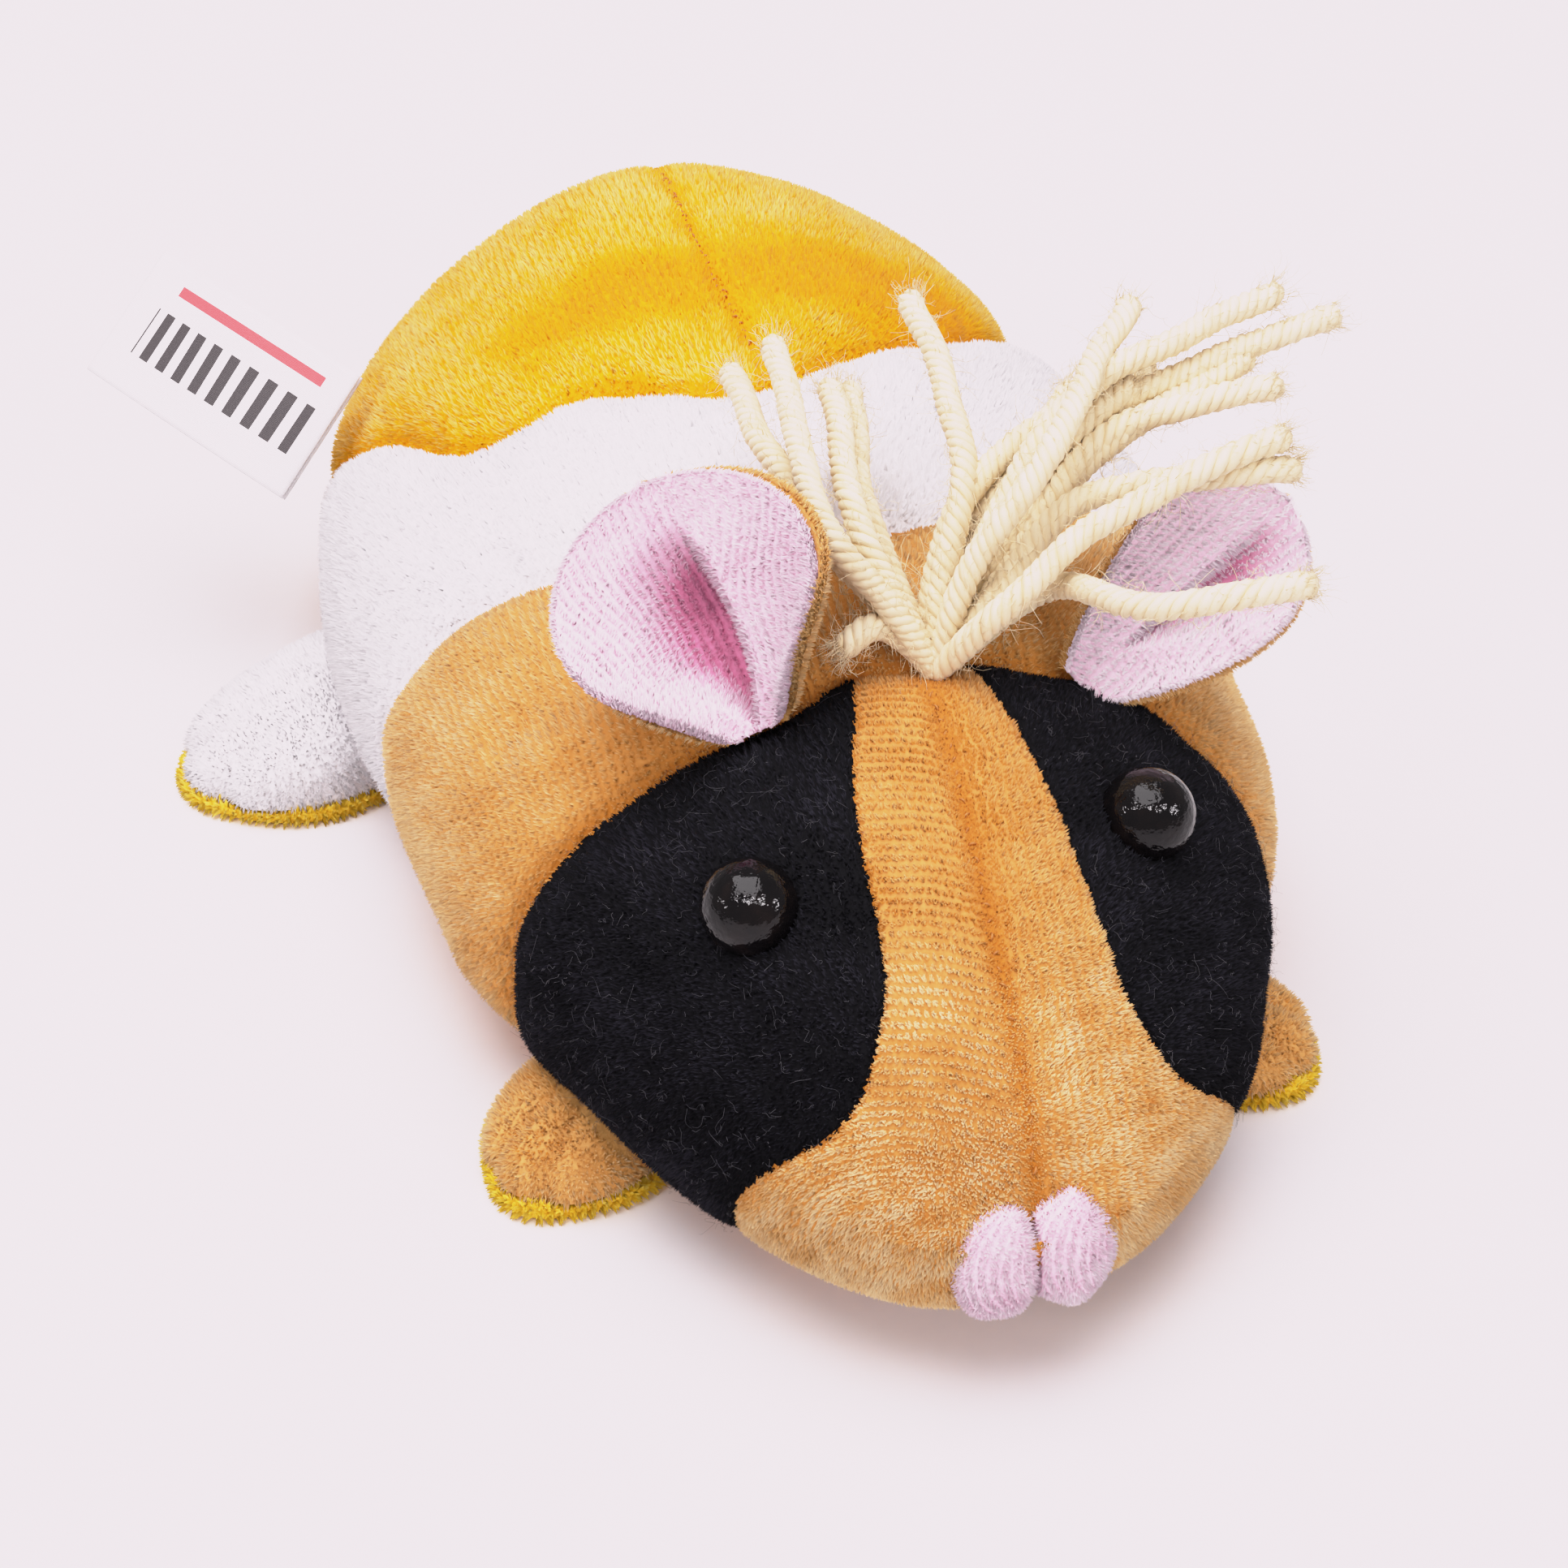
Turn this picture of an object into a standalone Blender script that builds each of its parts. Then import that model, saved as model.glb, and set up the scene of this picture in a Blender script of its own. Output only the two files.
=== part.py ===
"""A small stuffed toy guinea pig: a flat, bean-filled body sewn from velour panels,
with bead eyes, a puffy nose, folded ears, four flat feet, a tuft of yarn between
the ears and a blank ribbon label in the side seam.

The toy lies on its belly and looks along -Y.  Up is +Z, its own left is +X.
The origin is on the floor, in the middle of the flat under the belly.
"""
import math

import bmesh
import bpy
from mathutils import Matrix, Vector

MM = 0.001
GAP = 0.3 * MM                # air left between neighbouring pieces

# ---------------------------------------------------------------- the body
BODY_LENGTH = 131.5 * MM      # snout to tail, without the nose
FLOOR_SINK = 0.9 * MM         # how far the rounded belly is pressed flat
FLANK_POWER = 3.6             # squareness of the body below its widest line
BODY_ROWS = 37
BODY_COLUMNS = 32

# One row for each place along the body.  The share of the way from snout to tail,
# then half width, height, height of the widest line and drift of the centre seam
# to the toy's left, in millimetres, and how round the crown is (2 is an ellipse).
BODY_STATIONS = (
    (0.00, 19.5, 34.0, 12.7, -1.7, 1.65),
    (0.10, 25.2, 35.4, 13.5, -1.2, 1.65),
    (0.22, 29.7, 37.4, 14.5, -0.7, 1.65),
    (0.36, 33.8, 38.6, 15.6, 0.8, 1.65),
    (0.50, 35.3, 37.4, 16.0, 0.3, 1.65),
    (0.64, 37.0, 39.9, 16.4, 0.6, 1.55),
    (0.78, 38.2, 45.0, 16.8, 2.4, 1.45),
    (0.90, 38.8, 49.3, 17.0, 4.6, 1.45),
    (1.00, 39.0, 53.0, 17.2, 6.4, 1.45),
)

# ---------------------------------------------------------------- the seams, in plan
FACE_SEAM_Y = -32.6 * MM      # ears and yarn are caught in this seam
NECK_SEAM_Y = -13.0 * MM      # tan neck to white middle, at the crown
NECK_SEAM_BOW = 5.5 * MM      # how much further back it runs at the flank
RUMP_SEAM_Y = 8.7 * MM        # white middle to yellow rump, at the crown
RUMP_SEAM_BOW = 17.0 * MM
SEAM_REACH = 30.0 * MM        # distance from the crown at which a bow is measured
SEAM_DIP = 1.1 * MM           # how deep a seam pulls the surface in
SEAM_SPREAD = 3.2 * MM        # half width of that valley

# Edge of the tan blaze: distance from the centre seam, and place along the body.
BLAZE_EDGE = (
    (5.2, -32.6), (6.4, -38.5), (6.8, -45.0), (7.0, -51.0),
    (8.3, -55.3), (11.0, -57.4), (14.5, -57.4), (19.0, -55.4), (40.0, -44.0),
)
BELLY_RISE = 3.0 * MM         # height of the belly panel
CELL_REACH = 90.0 * MM        # size of the blocks that part the body

# ---------------------------------------------------------------- face pieces
EYE_RADIUS = 3.0 * MM
EYE_PROUD = 0.9 * MM          # centre of the bead above the fabric
# for each eye: its share of the way along the body, and degrees up from the flank
EYES = {"right": (0.265, 49.3), "left": (0.2715, 54.8)}
NOSE_RADII = (3.5 * MM, 2.9 * MM, 4.6 * MM)
NOSE_CENTRE = (2.5 * MM, -63.9 * MM, 11.1 * MM)
NOSE_TILT = 17.0              # degrees, leaning back with the slope of the face

# ---------------------------------------------------------------- ears
EAR_LENGTH = 18.4 * MM
EAR_WIDTH = 21.0 * MM
EAR_LAYER = 1.0 * MM          # thickness of the velour back and of the lining
EAR_ROOT_HALF = 2.6 * MM      # half the width gathered into the seam
EAR_ROWS = 7
EAR_COLUMNS = 9
# for each ear: the root, which way it grows and which way it opens, then the
# radius of its fold at the root and at the tip
EARS = {
    "right": ((-11.6, -32.3, 32.2), (-0.25, 0.64, 0.73), (-0.33, -0.76, 0.56), 2.6, 27.0),
    "left": ((11.6, -32.8, 31.6), (0.84, 0.17, 0.52), (0.20, -0.97, 0.06), 2.6, 16.0),
}

# ---------------------------------------------------------------- feet
SOLE_THICKNESS = 1.3 * MM
# for each foot: centre, half length, half width, height and heading in degrees
FEET = {
    "forefoot_right": ((-23.7, -34.9), 10.8, 7.0, 6.4, 218.0),
    "forefoot_left": ((20.6, -37.2), 11.2, 7.2, 6.4, -38.0),
    "hindfoot_right": ((-34.4, 16.9), 15.2, 9.6, 7.0, 200.0),
    "hindfoot_left": ((34.6, 18.0), 14.4, 9.6, 7.0, -20.0),
}
FOOT_SIDES = 18

# ---------------------------------------------------------------- label and yarn
LABEL_WIDTH = 12.4 * MM
LABEL_LENGTH = 23.5 * MM
LABEL_THICKNESS = 0.9 * MM
LABEL_ROOT = (-32.6 * MM, 30.0 * MM, 22.6 * MM)
LABEL_ALONG = (-0.60, 0.77, 0.20)
LABEL_ACROSS = (-0.64, -0.35, -0.68)

YARN_RADIUS = 0.9 * MM
YARN_ROOT = (1.2, -32.2, 35.0)
YARN_KNOT_RADIUS = 2.0 * MM
YARN_SIDES = 6
YARN_STEPS = 7
# each strand's middle and tip, in millimetres from the root
YARN_STRANDS = (
    ((-4.2, 12.0, 7.0), (-8.2, 24.0, 12.0)),
    ((-4.6, 15.0, 8.6), (-4.2, 27.5, 12.4)),
    ((-3.4, 10.0, 6.6), (-3.4, 20.0, 11.6)),
    ((-1.8, 10.5, 5.2), (0.4, 22.5, 11.0)),
    ((4.8, 12.0, 10.8), (5.4, 23.0, 16.6)),
    ((8.6, 10.5, 10.6), (20.6, 21.0, 14.2)),
    ((14.0, 12.2, 14.4), (30.4, 16.4, 17.0)),
    ((16.4, 8.2, 13.2), (33.2, 11.0, 17.2)),
    ((15.0, 8.6, 9.4), (27.0, 15.0, 12.4)),
    ((17.0, 5.6, 10.0), (32.4, 12.2, 14.2)),
    ((12.0, -0.6, 12.0), (24.4, -3.6, 18.2)),
    ((10.4, -4.6, 8.6), (24.0, -11.4, 11.2)),
    ((12.2, 8.8, 7.4), (23.0, 20.4, 10.4)),
    ((-1.4, 9.0, 3.6), (-5.2, 13.6, 2.8)),
)

# ---------------------------------------------------------------- finishes
FINISHES = {
    "tan_velour": ((0.75, 0.44, 0.17), 0.92),
    "black_velour": ((0.012, 0.010, 0.013), 0.95),
    "white_velour": ((0.85, 0.81, 0.83), 0.92),
    "yellow_velour": ((0.85, 0.52, 0.07), 0.92),
    "pink_velour": ((0.86, 0.60, 0.70), 0.92),
    "eye_bead": ((0.008, 0.008, 0.009), 0.08),
    "label_ribbon": ((0.86, 0.84, 0.84), 0.65),
    "cream_yarn": ((0.82, 0.72, 0.53), 0.95),
}


# ---------------------------------------------------------------- helpers
def clear_scene():
    """Take every object out of the scene."""
    for thing in list(bpy.context.scene.objects):
        bpy.data.objects.remove(thing, do_unlink=True)


def finish(name):
    """Return the material of one kind of cloth, bead or ribbon."""
    material = bpy.data.materials.get(name)
    if material is None:
        colour, roughness = FINISHES[name]
        material = bpy.data.materials.new(name)
        material.use_nodes = True
        shader = material.node_tree.nodes["Principled BSDF"]
        shader.inputs["Base Color"].default_value = (*colour, 1.0)
        shader.inputs["Roughness"].default_value = roughness
        shader.inputs["Metallic"].default_value = 0.0
        material.diffuse_color = (*colour, 1.0)
    return material


def make_object(name, points, faces, material=None, smooth=True):
    """Make a closed mesh object with its faces pointing out."""
    mesh = bpy.data.meshes.new(name)
    mesh.from_pydata([tuple(p) for p in points], [], faces)
    work = bmesh.new()
    work.from_mesh(mesh)
    bmesh.ops.recalc_face_normals(work, faces=work.faces)
    work.to_mesh(mesh)
    work.free()
    thing = bpy.data.objects.new(name, mesh)
    bpy.context.scene.collection.objects.link(thing)
    if smooth:
        mesh.shade_smooth()
        mesh.set_sharp_from_angle(angle=math.radians(40))
    if material is not None:
        mesh.materials.append(finish(material))
    return thing


def make_cutter(name, points, faces):
    """Make a hidden shape that other pieces are cut with."""
    cutter = make_object(name, points, faces, smooth=False)
    cutter.hide_render = True
    cutter.display_type = "WIRE"
    return cutter


def cut(thing, cutter, operation):
    """Add an exact Boolean to a piece."""
    change = thing.modifiers.new(cutter.name, "BOOLEAN")
    change.object = cutter
    change.operation = operation
    change.solver = "EXACT"


def smooth_curve(stations, column):
    """Return a smooth function of the share through one column of the stations."""
    xs = [row[0] for row in stations]
    ys = [row[column] for row in stations]
    last = len(xs) - 1
    slopes = []
    for i in range(len(xs)):
        low, high = max(i - 1, 0), min(i + 1, last)
        slopes.append((ys[high] - ys[low]) / (xs[high] - xs[low]))

    def value(x):
        i = min(max(sum(1 for start in xs if start <= x) - 1, 0), last - 1)
        width = xs[i + 1] - xs[i]
        t = (x - xs[i]) / width
        rise = ys[i + 1] - ys[i]
        pull = (1 - t) * (slopes[i] * width - rise) - t * (slopes[i + 1] * width - rise)
        return ys[i] + t * rise + t * (1 - t) * pull

    return value


HALF_WIDTH, CROWN, WIDEST, DRIFT, ROUNDNESS = (
    smooth_curve(BODY_STATIONS, column) for column in range(1, 6)
)


def share_at(y):
    """Share of the way along the body at a place y."""
    return math.acos(max(-1.0, min(1.0, -2 * y / BODY_LENGTH))) / math.pi


def centre_seam_x(y):
    """Sideways place of the seam along the middle of the back and face."""
    return DRIFT(share_at(y)) * MM


def bowed_seam_y(x, y_crown, bow):
    """Plan line of a seam that runs across the body."""
    return y_crown + bow * (x / SEAM_REACH) ** 2


def seam_valley(x, y):
    """Depth of the valleys that the seams pull in the stuffed surface at (x, y)."""
    across = (
        y - FACE_SEAM_Y,
        y - bowed_seam_y(x, NECK_SEAM_Y, NECK_SEAM_BOW),
        y - bowed_seam_y(x, RUMP_SEAM_Y, RUMP_SEAM_BOW),
    )
    nearest = min(abs(distance) for distance in across)
    return SEAM_DIP * math.exp(-((nearest / SEAM_SPREAD) ** 2))


def body_point(share, angle, grow=0.0):
    """Point of the stuffed surface; the angle turns from the left flank over the crown."""
    taper = math.sin(math.pi * share)
    y = -(BODY_LENGTH / 2 + grow) * math.cos(math.pi * share)
    half_width = HALF_WIDTH(share) * MM * taper ** 0.75 + grow
    crown = CROWN(share) * MM * taper ** 0.6 + grow
    widest = WIDEST(share) * MM
    side, rise = math.cos(angle), math.sin(angle)
    power = ROUNDNESS(share) if rise > 0 else FLANK_POWER
    x = half_width * math.copysign(abs(side) ** (2 / power), side)
    lift = abs(rise) ** (2 / power)
    if rise > 0:
        z = widest + max(crown - widest, grow) * lift
        z -= seam_valley(x, y) * lift
    else:
        z = widest - (widest + FLOOR_SINK + grow) * taper ** 0.5 * lift
    return Vector((x + DRIFT(share) * MM, y, z))


def body_normal(share, angle):
    """Outward direction of the stuffed surface."""
    step = 0.002
    along = body_point(share + step, angle) - body_point(share - step, angle)
    around = body_point(share, angle + step) - body_point(share, angle - step)
    return around.cross(along).normalized() * -1


def body_mesh(grow=0.0):
    """Points and faces of the whole stuffed body, closed at snout and tail."""
    points, faces = [], []
    for i in range(1, BODY_ROWS):
        for j in range(BODY_COLUMNS):
            angle = 2 * math.pi * j / BODY_COLUMNS
            points.append(body_point(i / BODY_ROWS, angle, grow))
    for i in range(BODY_ROWS - 2):
        for j in range(BODY_COLUMNS):
            k = (j + 1) % BODY_COLUMNS
            row, after = i * BODY_COLUMNS, (i + 1) * BODY_COLUMNS
            faces.append((row + j, row + k, after + k, after + j))
    for share, row in ((0.0, 0), (1.0, BODY_ROWS - 2)):
        tip = len(points)
        points.append(body_point(share, 0.0, grow))
        for j in range(BODY_COLUMNS):
            k = (j + 1) % BODY_COLUMNS
            faces.append((tip, row * BODY_COLUMNS + j, row * BODY_COLUMNS + k))
    return points, faces


def block(name, outline, low, high):
    """Hidden upright block with a plan outline, used to keep one panel of the body."""
    count = len(outline)
    points = [(x, y, low) for x, y in outline] + [(x, y, high) for x, y in outline]
    faces = [tuple(range(count)), tuple(range(count, 2 * count))]
    for i in range(count):
        j = (i + 1) % count
        faces.append((i, j, count + j, count + i))
    return make_cutter(name, points, faces)


# ---------------------------------------------------------------- body panels
def across_line(y_crown, bow, shift):
    """Points of a cross seam from the right flank to the left one."""
    xs = [-CELL_REACH + step * CELL_REACH / 24 for step in range(49)]
    held = [max(-45 * MM, min(45 * MM, x)) for x in xs]
    return [(x, bowed_seam_y(h, y_crown, bow) + shift) for x, h in zip(xs, held)]


def centre_line(y_start, y_end, shift, steps=8):
    """Points along the middle seam."""
    line = []
    for i in range(steps + 1):
        y = y_start + (y_end - y_start) * i / steps
        line.append((centre_seam_x(y) + shift, y))
    return line


def blaze_line(side, shift, steps=5):
    """Smooth edge of the blaze, from the face seam round the cheek to outside the body."""
    stations = [(i, *point) for i, point in enumerate(BLAZE_EDGE)]
    out, along = smooth_curve(stations, 1), smooth_curve(stations, 2)
    line = []
    count = steps * (len(BLAZE_EDGE) - 1)
    for i in range(count + 1):
        t = i / steps
        ahead, behind = min(t + 0.01, len(BLAZE_EDGE) - 1), max(t - 0.01, 0)
        run, rise = out(ahead) - out(behind), along(ahead) - along(behind)
        scale = shift / math.hypot(run, rise)
        y = along(t) * MM + run * scale
        x = out(t) * MM - rise * scale
        line.append((centre_seam_x(max(y, -BODY_LENGTH / 2)) + side * x, y))
    return line


def panel(name, outline, material, low=BELLY_RISE + GAP / 2, high=CELL_REACH):
    """One sewn panel: the part of the stuffed body that stands on a plan outline."""
    points, faces = body_mesh()
    thing = make_object(name, points, faces, material)
    cut(thing, block(name + "_block", outline, low, high), "INTERSECT")
    return thing


def make_panels():
    """Face, neck, middle, rump and belly."""
    half = GAP / 2
    far = CELL_REACH
    panels = {}
    for word, side in (("left", 1), ("right", -1)):
        middle = centre_line(FACE_SEAM_Y - half, -far, side * half)
        middle[0] = (middle[0][0], FACE_SEAM_Y - half)
        edge = [(x, min(y, FACE_SEAM_Y - half)) for x, y in blaze_line(side, -half)]
        outline = middle + [(side * far, -far)] + edge[::-1]
        panels["blaze_" + word] = panel("blaze_" + word, outline, "tan_velour")
        edge = [(x, min(y, FACE_SEAM_Y - half)) for x, y in blaze_line(side, half)]
        outline = edge + [(side * far, edge[-1][1]), (side * far, FACE_SEAM_Y - half)]
        name = "eye_patch_" + word
        panels[name] = panel(name, outline, "black_velour")
    face_edge = [(-far, FACE_SEAM_Y + half), (far, FACE_SEAM_Y + half)]
    neck_edge = across_line(NECK_SEAM_Y, NECK_SEAM_BOW, 0.0)
    rump_edge = across_line(RUMP_SEAM_Y, RUMP_SEAM_BOW, 0.0)
    outline = face_edge + [(x, y - half) for x, y in neck_edge[::-1]]
    panels["neck"] = panel("neck", outline, "tan_velour")
    outline = [(x, y + half) for x, y in neck_edge]
    outline += [(x, y - half) for x, y in rump_edge[::-1]]
    panels["middle"] = panel("middle", outline, "white_velour")
    for word, side in (("left", 1), ("right", -1)):
        start = RUMP_SEAM_Y + half
        middle = centre_line(far, start, side * half)
        edge = [(x, y + half) for x, y in rump_edge if side * x > 1.5 * MM]
        if side < 0:
            edge = edge[::-1]
        outline = middle + edge + [(side * far, far)]
        name = "rump_" + word
        panels[name] = panel(name, outline, "yellow_velour")
    square = [(-far, -far), (far, -far), (far, far), (-far, far)]
    panels["belly"] = panel("belly", square, "yellow_velour", 0.0, BELLY_RISE - half)
    return panels


# ---------------------------------------------------------------- round pieces
def ball_mesh(radii, columns, rows):
    """Points and faces of an ellipsoid about the origin."""
    points = [(0.0, 0.0, radii[2])]
    for i in range(1, rows):
        fall = math.pi * i / rows
        for j in range(columns):
            turn = 2 * math.pi * j / columns
            points.append((
                radii[0] * math.sin(fall) * math.cos(turn),
                radii[1] * math.sin(fall) * math.sin(turn),
                radii[2] * math.cos(fall),
            ))
    points.append((0.0, 0.0, -radii[2]))
    faces = []
    for j in range(columns):
        k = (j + 1) % columns
        faces.append((0, 1 + j, 1 + k))
        for i in range(rows - 2):
            row, after = 1 + i * columns, 1 + (i + 1) * columns
            faces.append((row + j, row + k, after + k, after + j))
        last = 1 + (rows - 2) * columns
        faces.append((last + j, last + k, len(points) - 1))
    return points, faces


def placed(points, place):
    """Move points by a matrix."""
    return [place @ Vector(p) for p in points]


def make_eyes(panels):
    """Domed beads, each in a socket of its black patch."""
    for word, side in (("left", 1), ("right", -1)):
        share, rise = EYES[word]
        angle = math.radians(rise if side > 0 else 180 - rise)
        spot = body_point(share, angle)
        outward = body_normal(share, angle)
        facing = outward.to_track_quat("Z", "Y").to_matrix().to_4x4()
        place = Matrix.Translation(spot + outward * EYE_PROUD) @ facing
        points, faces = ball_mesh((EYE_RADIUS,) * 3, 16, 8)
        make_object("eye_" + word, placed(points, place), faces, "eye_bead")
        points, faces = ball_mesh((EYE_RADIUS + GAP,) * 3, 12, 8)
        socket = make_cutter("eye_socket_" + word, placed(points, place), faces)
        cut(panels["eye_patch_" + word], socket, "DIFFERENCE")


def make_nose(panels):
    """Two puffy pink lobes, pinched together at the centre seam."""
    x, y, z = NOSE_CENTRE
    middle = centre_seam_x(-BODY_LENGTH / 2)
    for word, side in (("left", 1), ("right", -1)):
        lean = Matrix.Rotation(math.radians(-NOSE_TILT), 4, "X")
        place = Matrix.Translation((middle + side * x, y, z)) @ lean
        points, faces = ball_mesh(NOSE_RADII, 14, 9)
        lobe = make_object("nose_" + word, placed(points, place), faces, "pink_velour")
        outer, inner = side * CELL_REACH, middle + side * GAP / 2
        low, high = -CELL_REACH, CELL_REACH
        plan = [(inner, low), (outer, low), (outer, high), (inner, high)]
        cut(lobe, block("nose_half_" + word, plan, low, high), "INTERSECT")
        grown = [radius + GAP for radius in NOSE_RADII]
        points, faces = ball_mesh(grown, 14, 9)
        for owner in ("blaze_left", "blaze_right", "belly"):
            name = "nose_seat_" + word + "_" + owner
            seat = make_cutter(name, placed(points, place), faces)
            cut(panels[owner], seat, "DIFFERENCE")


# ---------------------------------------------------------------- ears
def ear_rows():
    """Distance from the root and half width of each row of the ear's outline."""
    radius = EAR_WIDTH / 2
    centre = EAR_LENGTH - radius
    rows = []
    for i in range(EAR_ROWS + 1):
        t = i / EAR_ROWS
        along = EAR_LENGTH * (0.7 * t + 0.3 * math.sin(math.pi * t / 2))
        if along < centre:
            share = along / centre
            half = EAR_ROOT_HALF + (radius - EAR_ROOT_HALF) * math.sin(math.pi * share / 2) ** 0.8
        else:
            half = math.sqrt(max(radius ** 2 - (along - centre) ** 2, (0.9 * MM) ** 2))
        rows.append((t, along, half))
    return rows


def ear_layer(name, ear, inner, outer, material, body_cutter):
    """One layer of an ear, a folded leaf between two offsets from its middle surface."""
    root, grows, opens, fold_root, fold_tip = EARS[ear]
    root = Vector(root) * MM
    grows = Vector(grows).normalized()
    opens = Vector(opens)
    opens = (opens - grows * opens.dot(grows)).normalized()
    across = grows.cross(opens)
    points = []
    for offset in (inner, outer):
        for t, along, half in ear_rows():
            fold = (fold_root + (fold_tip - fold_root) * t ** 1.2) * MM
            for j in range(EAR_COLUMNS + 1):
                bend = (2 * j / EAR_COLUMNS - 1) * half / fold
                reach = fold - offset
                sideways = reach * math.sin(bend)
                forward = fold - reach * math.cos(bend)
                points.append(root + grows * along + across * sideways + opens * forward)
    columns = EAR_COLUMNS + 1
    rows = EAR_ROWS + 1
    layer = rows * columns
    faces = []
    for i in range(EAR_ROWS):
        for j in range(EAR_COLUMNS):
            a, b = i * columns + j, (i + 1) * columns + j
            faces.append((a, a + 1, b + 1, b))
            faces.append((layer + a, layer + b, layer + b + 1, layer + a + 1))
    for j in range(EAR_COLUMNS):
        end = EAR_ROWS * columns + j
        faces.append((j, layer + j, layer + j + 1, j + 1))
        faces.append((end, end + 1, layer + end + 1, layer + end))
    for i in range(EAR_ROWS):
        for edge in (0, EAR_COLUMNS):
            a, b = i * columns + edge, (i + 1) * columns + edge
            faces.append((a, b, layer + b, layer + a))
    thing = make_object(name, points, faces, material)
    cut(thing, body_cutter, "DIFFERENCE")


def make_ears(body_cutter):
    """A velour back and a pink lining for each ear."""
    half = GAP / 2
    for word in ("left", "right"):
        ear_layer("ear_lining_" + word, word, half, half + EAR_LAYER, "pink_velour", body_cutter)
        ear_layer("ear_back_" + word, word, -half - EAR_LAYER, -half, "tan_velour", body_cutter)


# ---------------------------------------------------------------- feet
def foot_outline(centre, half_length, half_width, heading, scale=1.0):
    """Egg-shaped plan of a foot, wider at the toes."""
    turn = math.radians(heading)
    outline = []
    for i in range(FOOT_SIDES):
        angle = 2 * math.pi * i / FOOT_SIDES
        along = half_length * scale * math.cos(angle)
        across = half_width * scale * math.sin(angle) * (1 + 0.16 * math.cos(angle))
        x = centre[0] + along * math.cos(turn) - across * math.sin(turn)
        y = centre[1] + along * math.sin(turn) + across * math.cos(turn)
        outline.append((x * MM, y * MM))
    return outline


def stacked(outlines, heights):
    """Points and faces of a solid through equal outlines at rising heights."""
    sides = len(outlines[0])
    points = [(x, y, z) for outline, z in zip(outlines, heights) for x, y in outline]
    faces = [tuple(range(sides)), tuple(range(len(points) - sides, len(points)))]
    for level in range(len(outlines) - 1):
        for i in range(sides):
            j = (i + 1) % sides
            a, b = level * sides, (level + 1) * sides
            faces.append((a + i, a + j, b + j, b + i))
    return points, faces


def make_feet(body_cutter):
    """A stuffed upper on a flat yellow sole, sewn in under the flank."""
    for name, (centre, half_length, half_width, height, heading) in FEET.items():
        scales, levels = (0.965, 1.0, 0.985), (0.0, 0.45, 1.0)
        outlines = [foot_outline(centre, half_length, half_width, heading, s) for s in scales]
        points, faces = stacked(outlines, [SOLE_THICKNESS * level for level in levels])
        sole = make_object(name + "_sole", points, faces, "yellow_velour")
        cut(sole, body_cutter, "DIFFERENCE")
        start = SOLE_THICKNESS + GAP
        rise = height * MM - start
        angles = [math.radians(a) for a in (0, 22, 45, 66, 82)]
        outlines = [
            foot_outline(centre, half_length, half_width, heading, 0.985 * math.cos(a))
            for a in angles
        ]
        points, faces = stacked(outlines, [start + rise * math.sin(a) for a in angles])
        white = name.startswith("hindfoot")
        upper = make_object(name, points, faces, "white_velour" if white else "tan_velour")
        cut(upper, body_cutter, "DIFFERENCE")


# ---------------------------------------------------------------- label and yarn
def make_label(body_cutter):
    """A blank folded ribbon that sticks out of the side seam, slightly curled."""
    along = Vector(LABEL_ALONG).normalized()
    across = Vector(LABEL_ACROSS)
    across = (across - along * across.dot(along)).normalized()
    face = along.cross(across)
    steps = 6
    points = []
    for i in range(steps + 1):
        t = i / steps
        curl = 1.2 * MM * math.sin(math.pi * t)
        middle = Vector(LABEL_ROOT) + along * (LABEL_LENGTH * t) + face * curl
        for a, b in ((-1, -1), (1, -1), (1, 1), (-1, 1)):
            spot = middle + across * (a * LABEL_WIDTH / 2) + face * (b * LABEL_THICKNESS / 2)
            points.append(spot)
    faces = [(0, 1, 2, 3), tuple(4 * steps + i for i in range(4))]
    for i in range(steps):
        for j in range(4):
            k = (j + 1) % 4
            faces.append((4 * i + j, 4 * i + k, 4 * i + 4 + k, 4 * i + 4 + j))
    label = make_object("side_label", points, faces, "label_ribbon", smooth=False)
    cut(label, body_cutter, "DIFFERENCE")


def strand_mesh(middle, tip):
    """Points and faces of one strand, a tube along a bent line from the root."""
    start = Vector((0.0, 0.0, 0.0))
    middle, tip = Vector(middle), Vector(tip)
    points, faces = [], []
    for i in range(YARN_STEPS + 1):
        t = i / YARN_STEPS
        spot = start * (1 - t) * (1 - 2 * t) + middle * 4 * t * (1 - t) + tip * t * (2 * t - 1)
        heading = middle * (4 - 8 * t) + tip * (4 * t - 1)
        turned = heading.to_track_quat("Z", "X").to_matrix()
        for j in range(YARN_SIDES):
            angle = 2 * math.pi * j / YARN_SIDES
            ring = Vector((math.cos(angle), math.sin(angle), 0.0)) * YARN_RADIUS
            points.append((spot + Vector(YARN_ROOT)) * MM + turned @ ring)
    faces = [tuple(range(YARN_SIDES)), tuple(range(len(points) - YARN_SIDES, len(points)))]
    for i in range(YARN_STEPS):
        for j in range(YARN_SIDES):
            k = (j + 1) % YARN_SIDES
            a, b = i * YARN_SIDES, (i + 1) * YARN_SIDES
            faces.append((a + j, a + k, b + k, b + j))
    return points, faces


def make_yarn(body_cutter):
    """The tuft: all its strands grow from one knot in the face seam."""
    place = Matrix.Translation(Vector(YARN_ROOT) * MM)
    points, faces = ball_mesh((YARN_KNOT_RADIUS,) * 3, 12, 8)
    tuft = make_object("yarn_tuft", placed(points, place), faces, "cream_yarn")
    for i, (middle, tip) in enumerate(YARN_STRANDS):
        points, faces = strand_mesh(middle, tip)
        cut(tuft, make_cutter(f"yarn_strand_{i + 1:02d}", points, faces), "UNION")
    cut(tuft, body_cutter, "DIFFERENCE")


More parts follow.
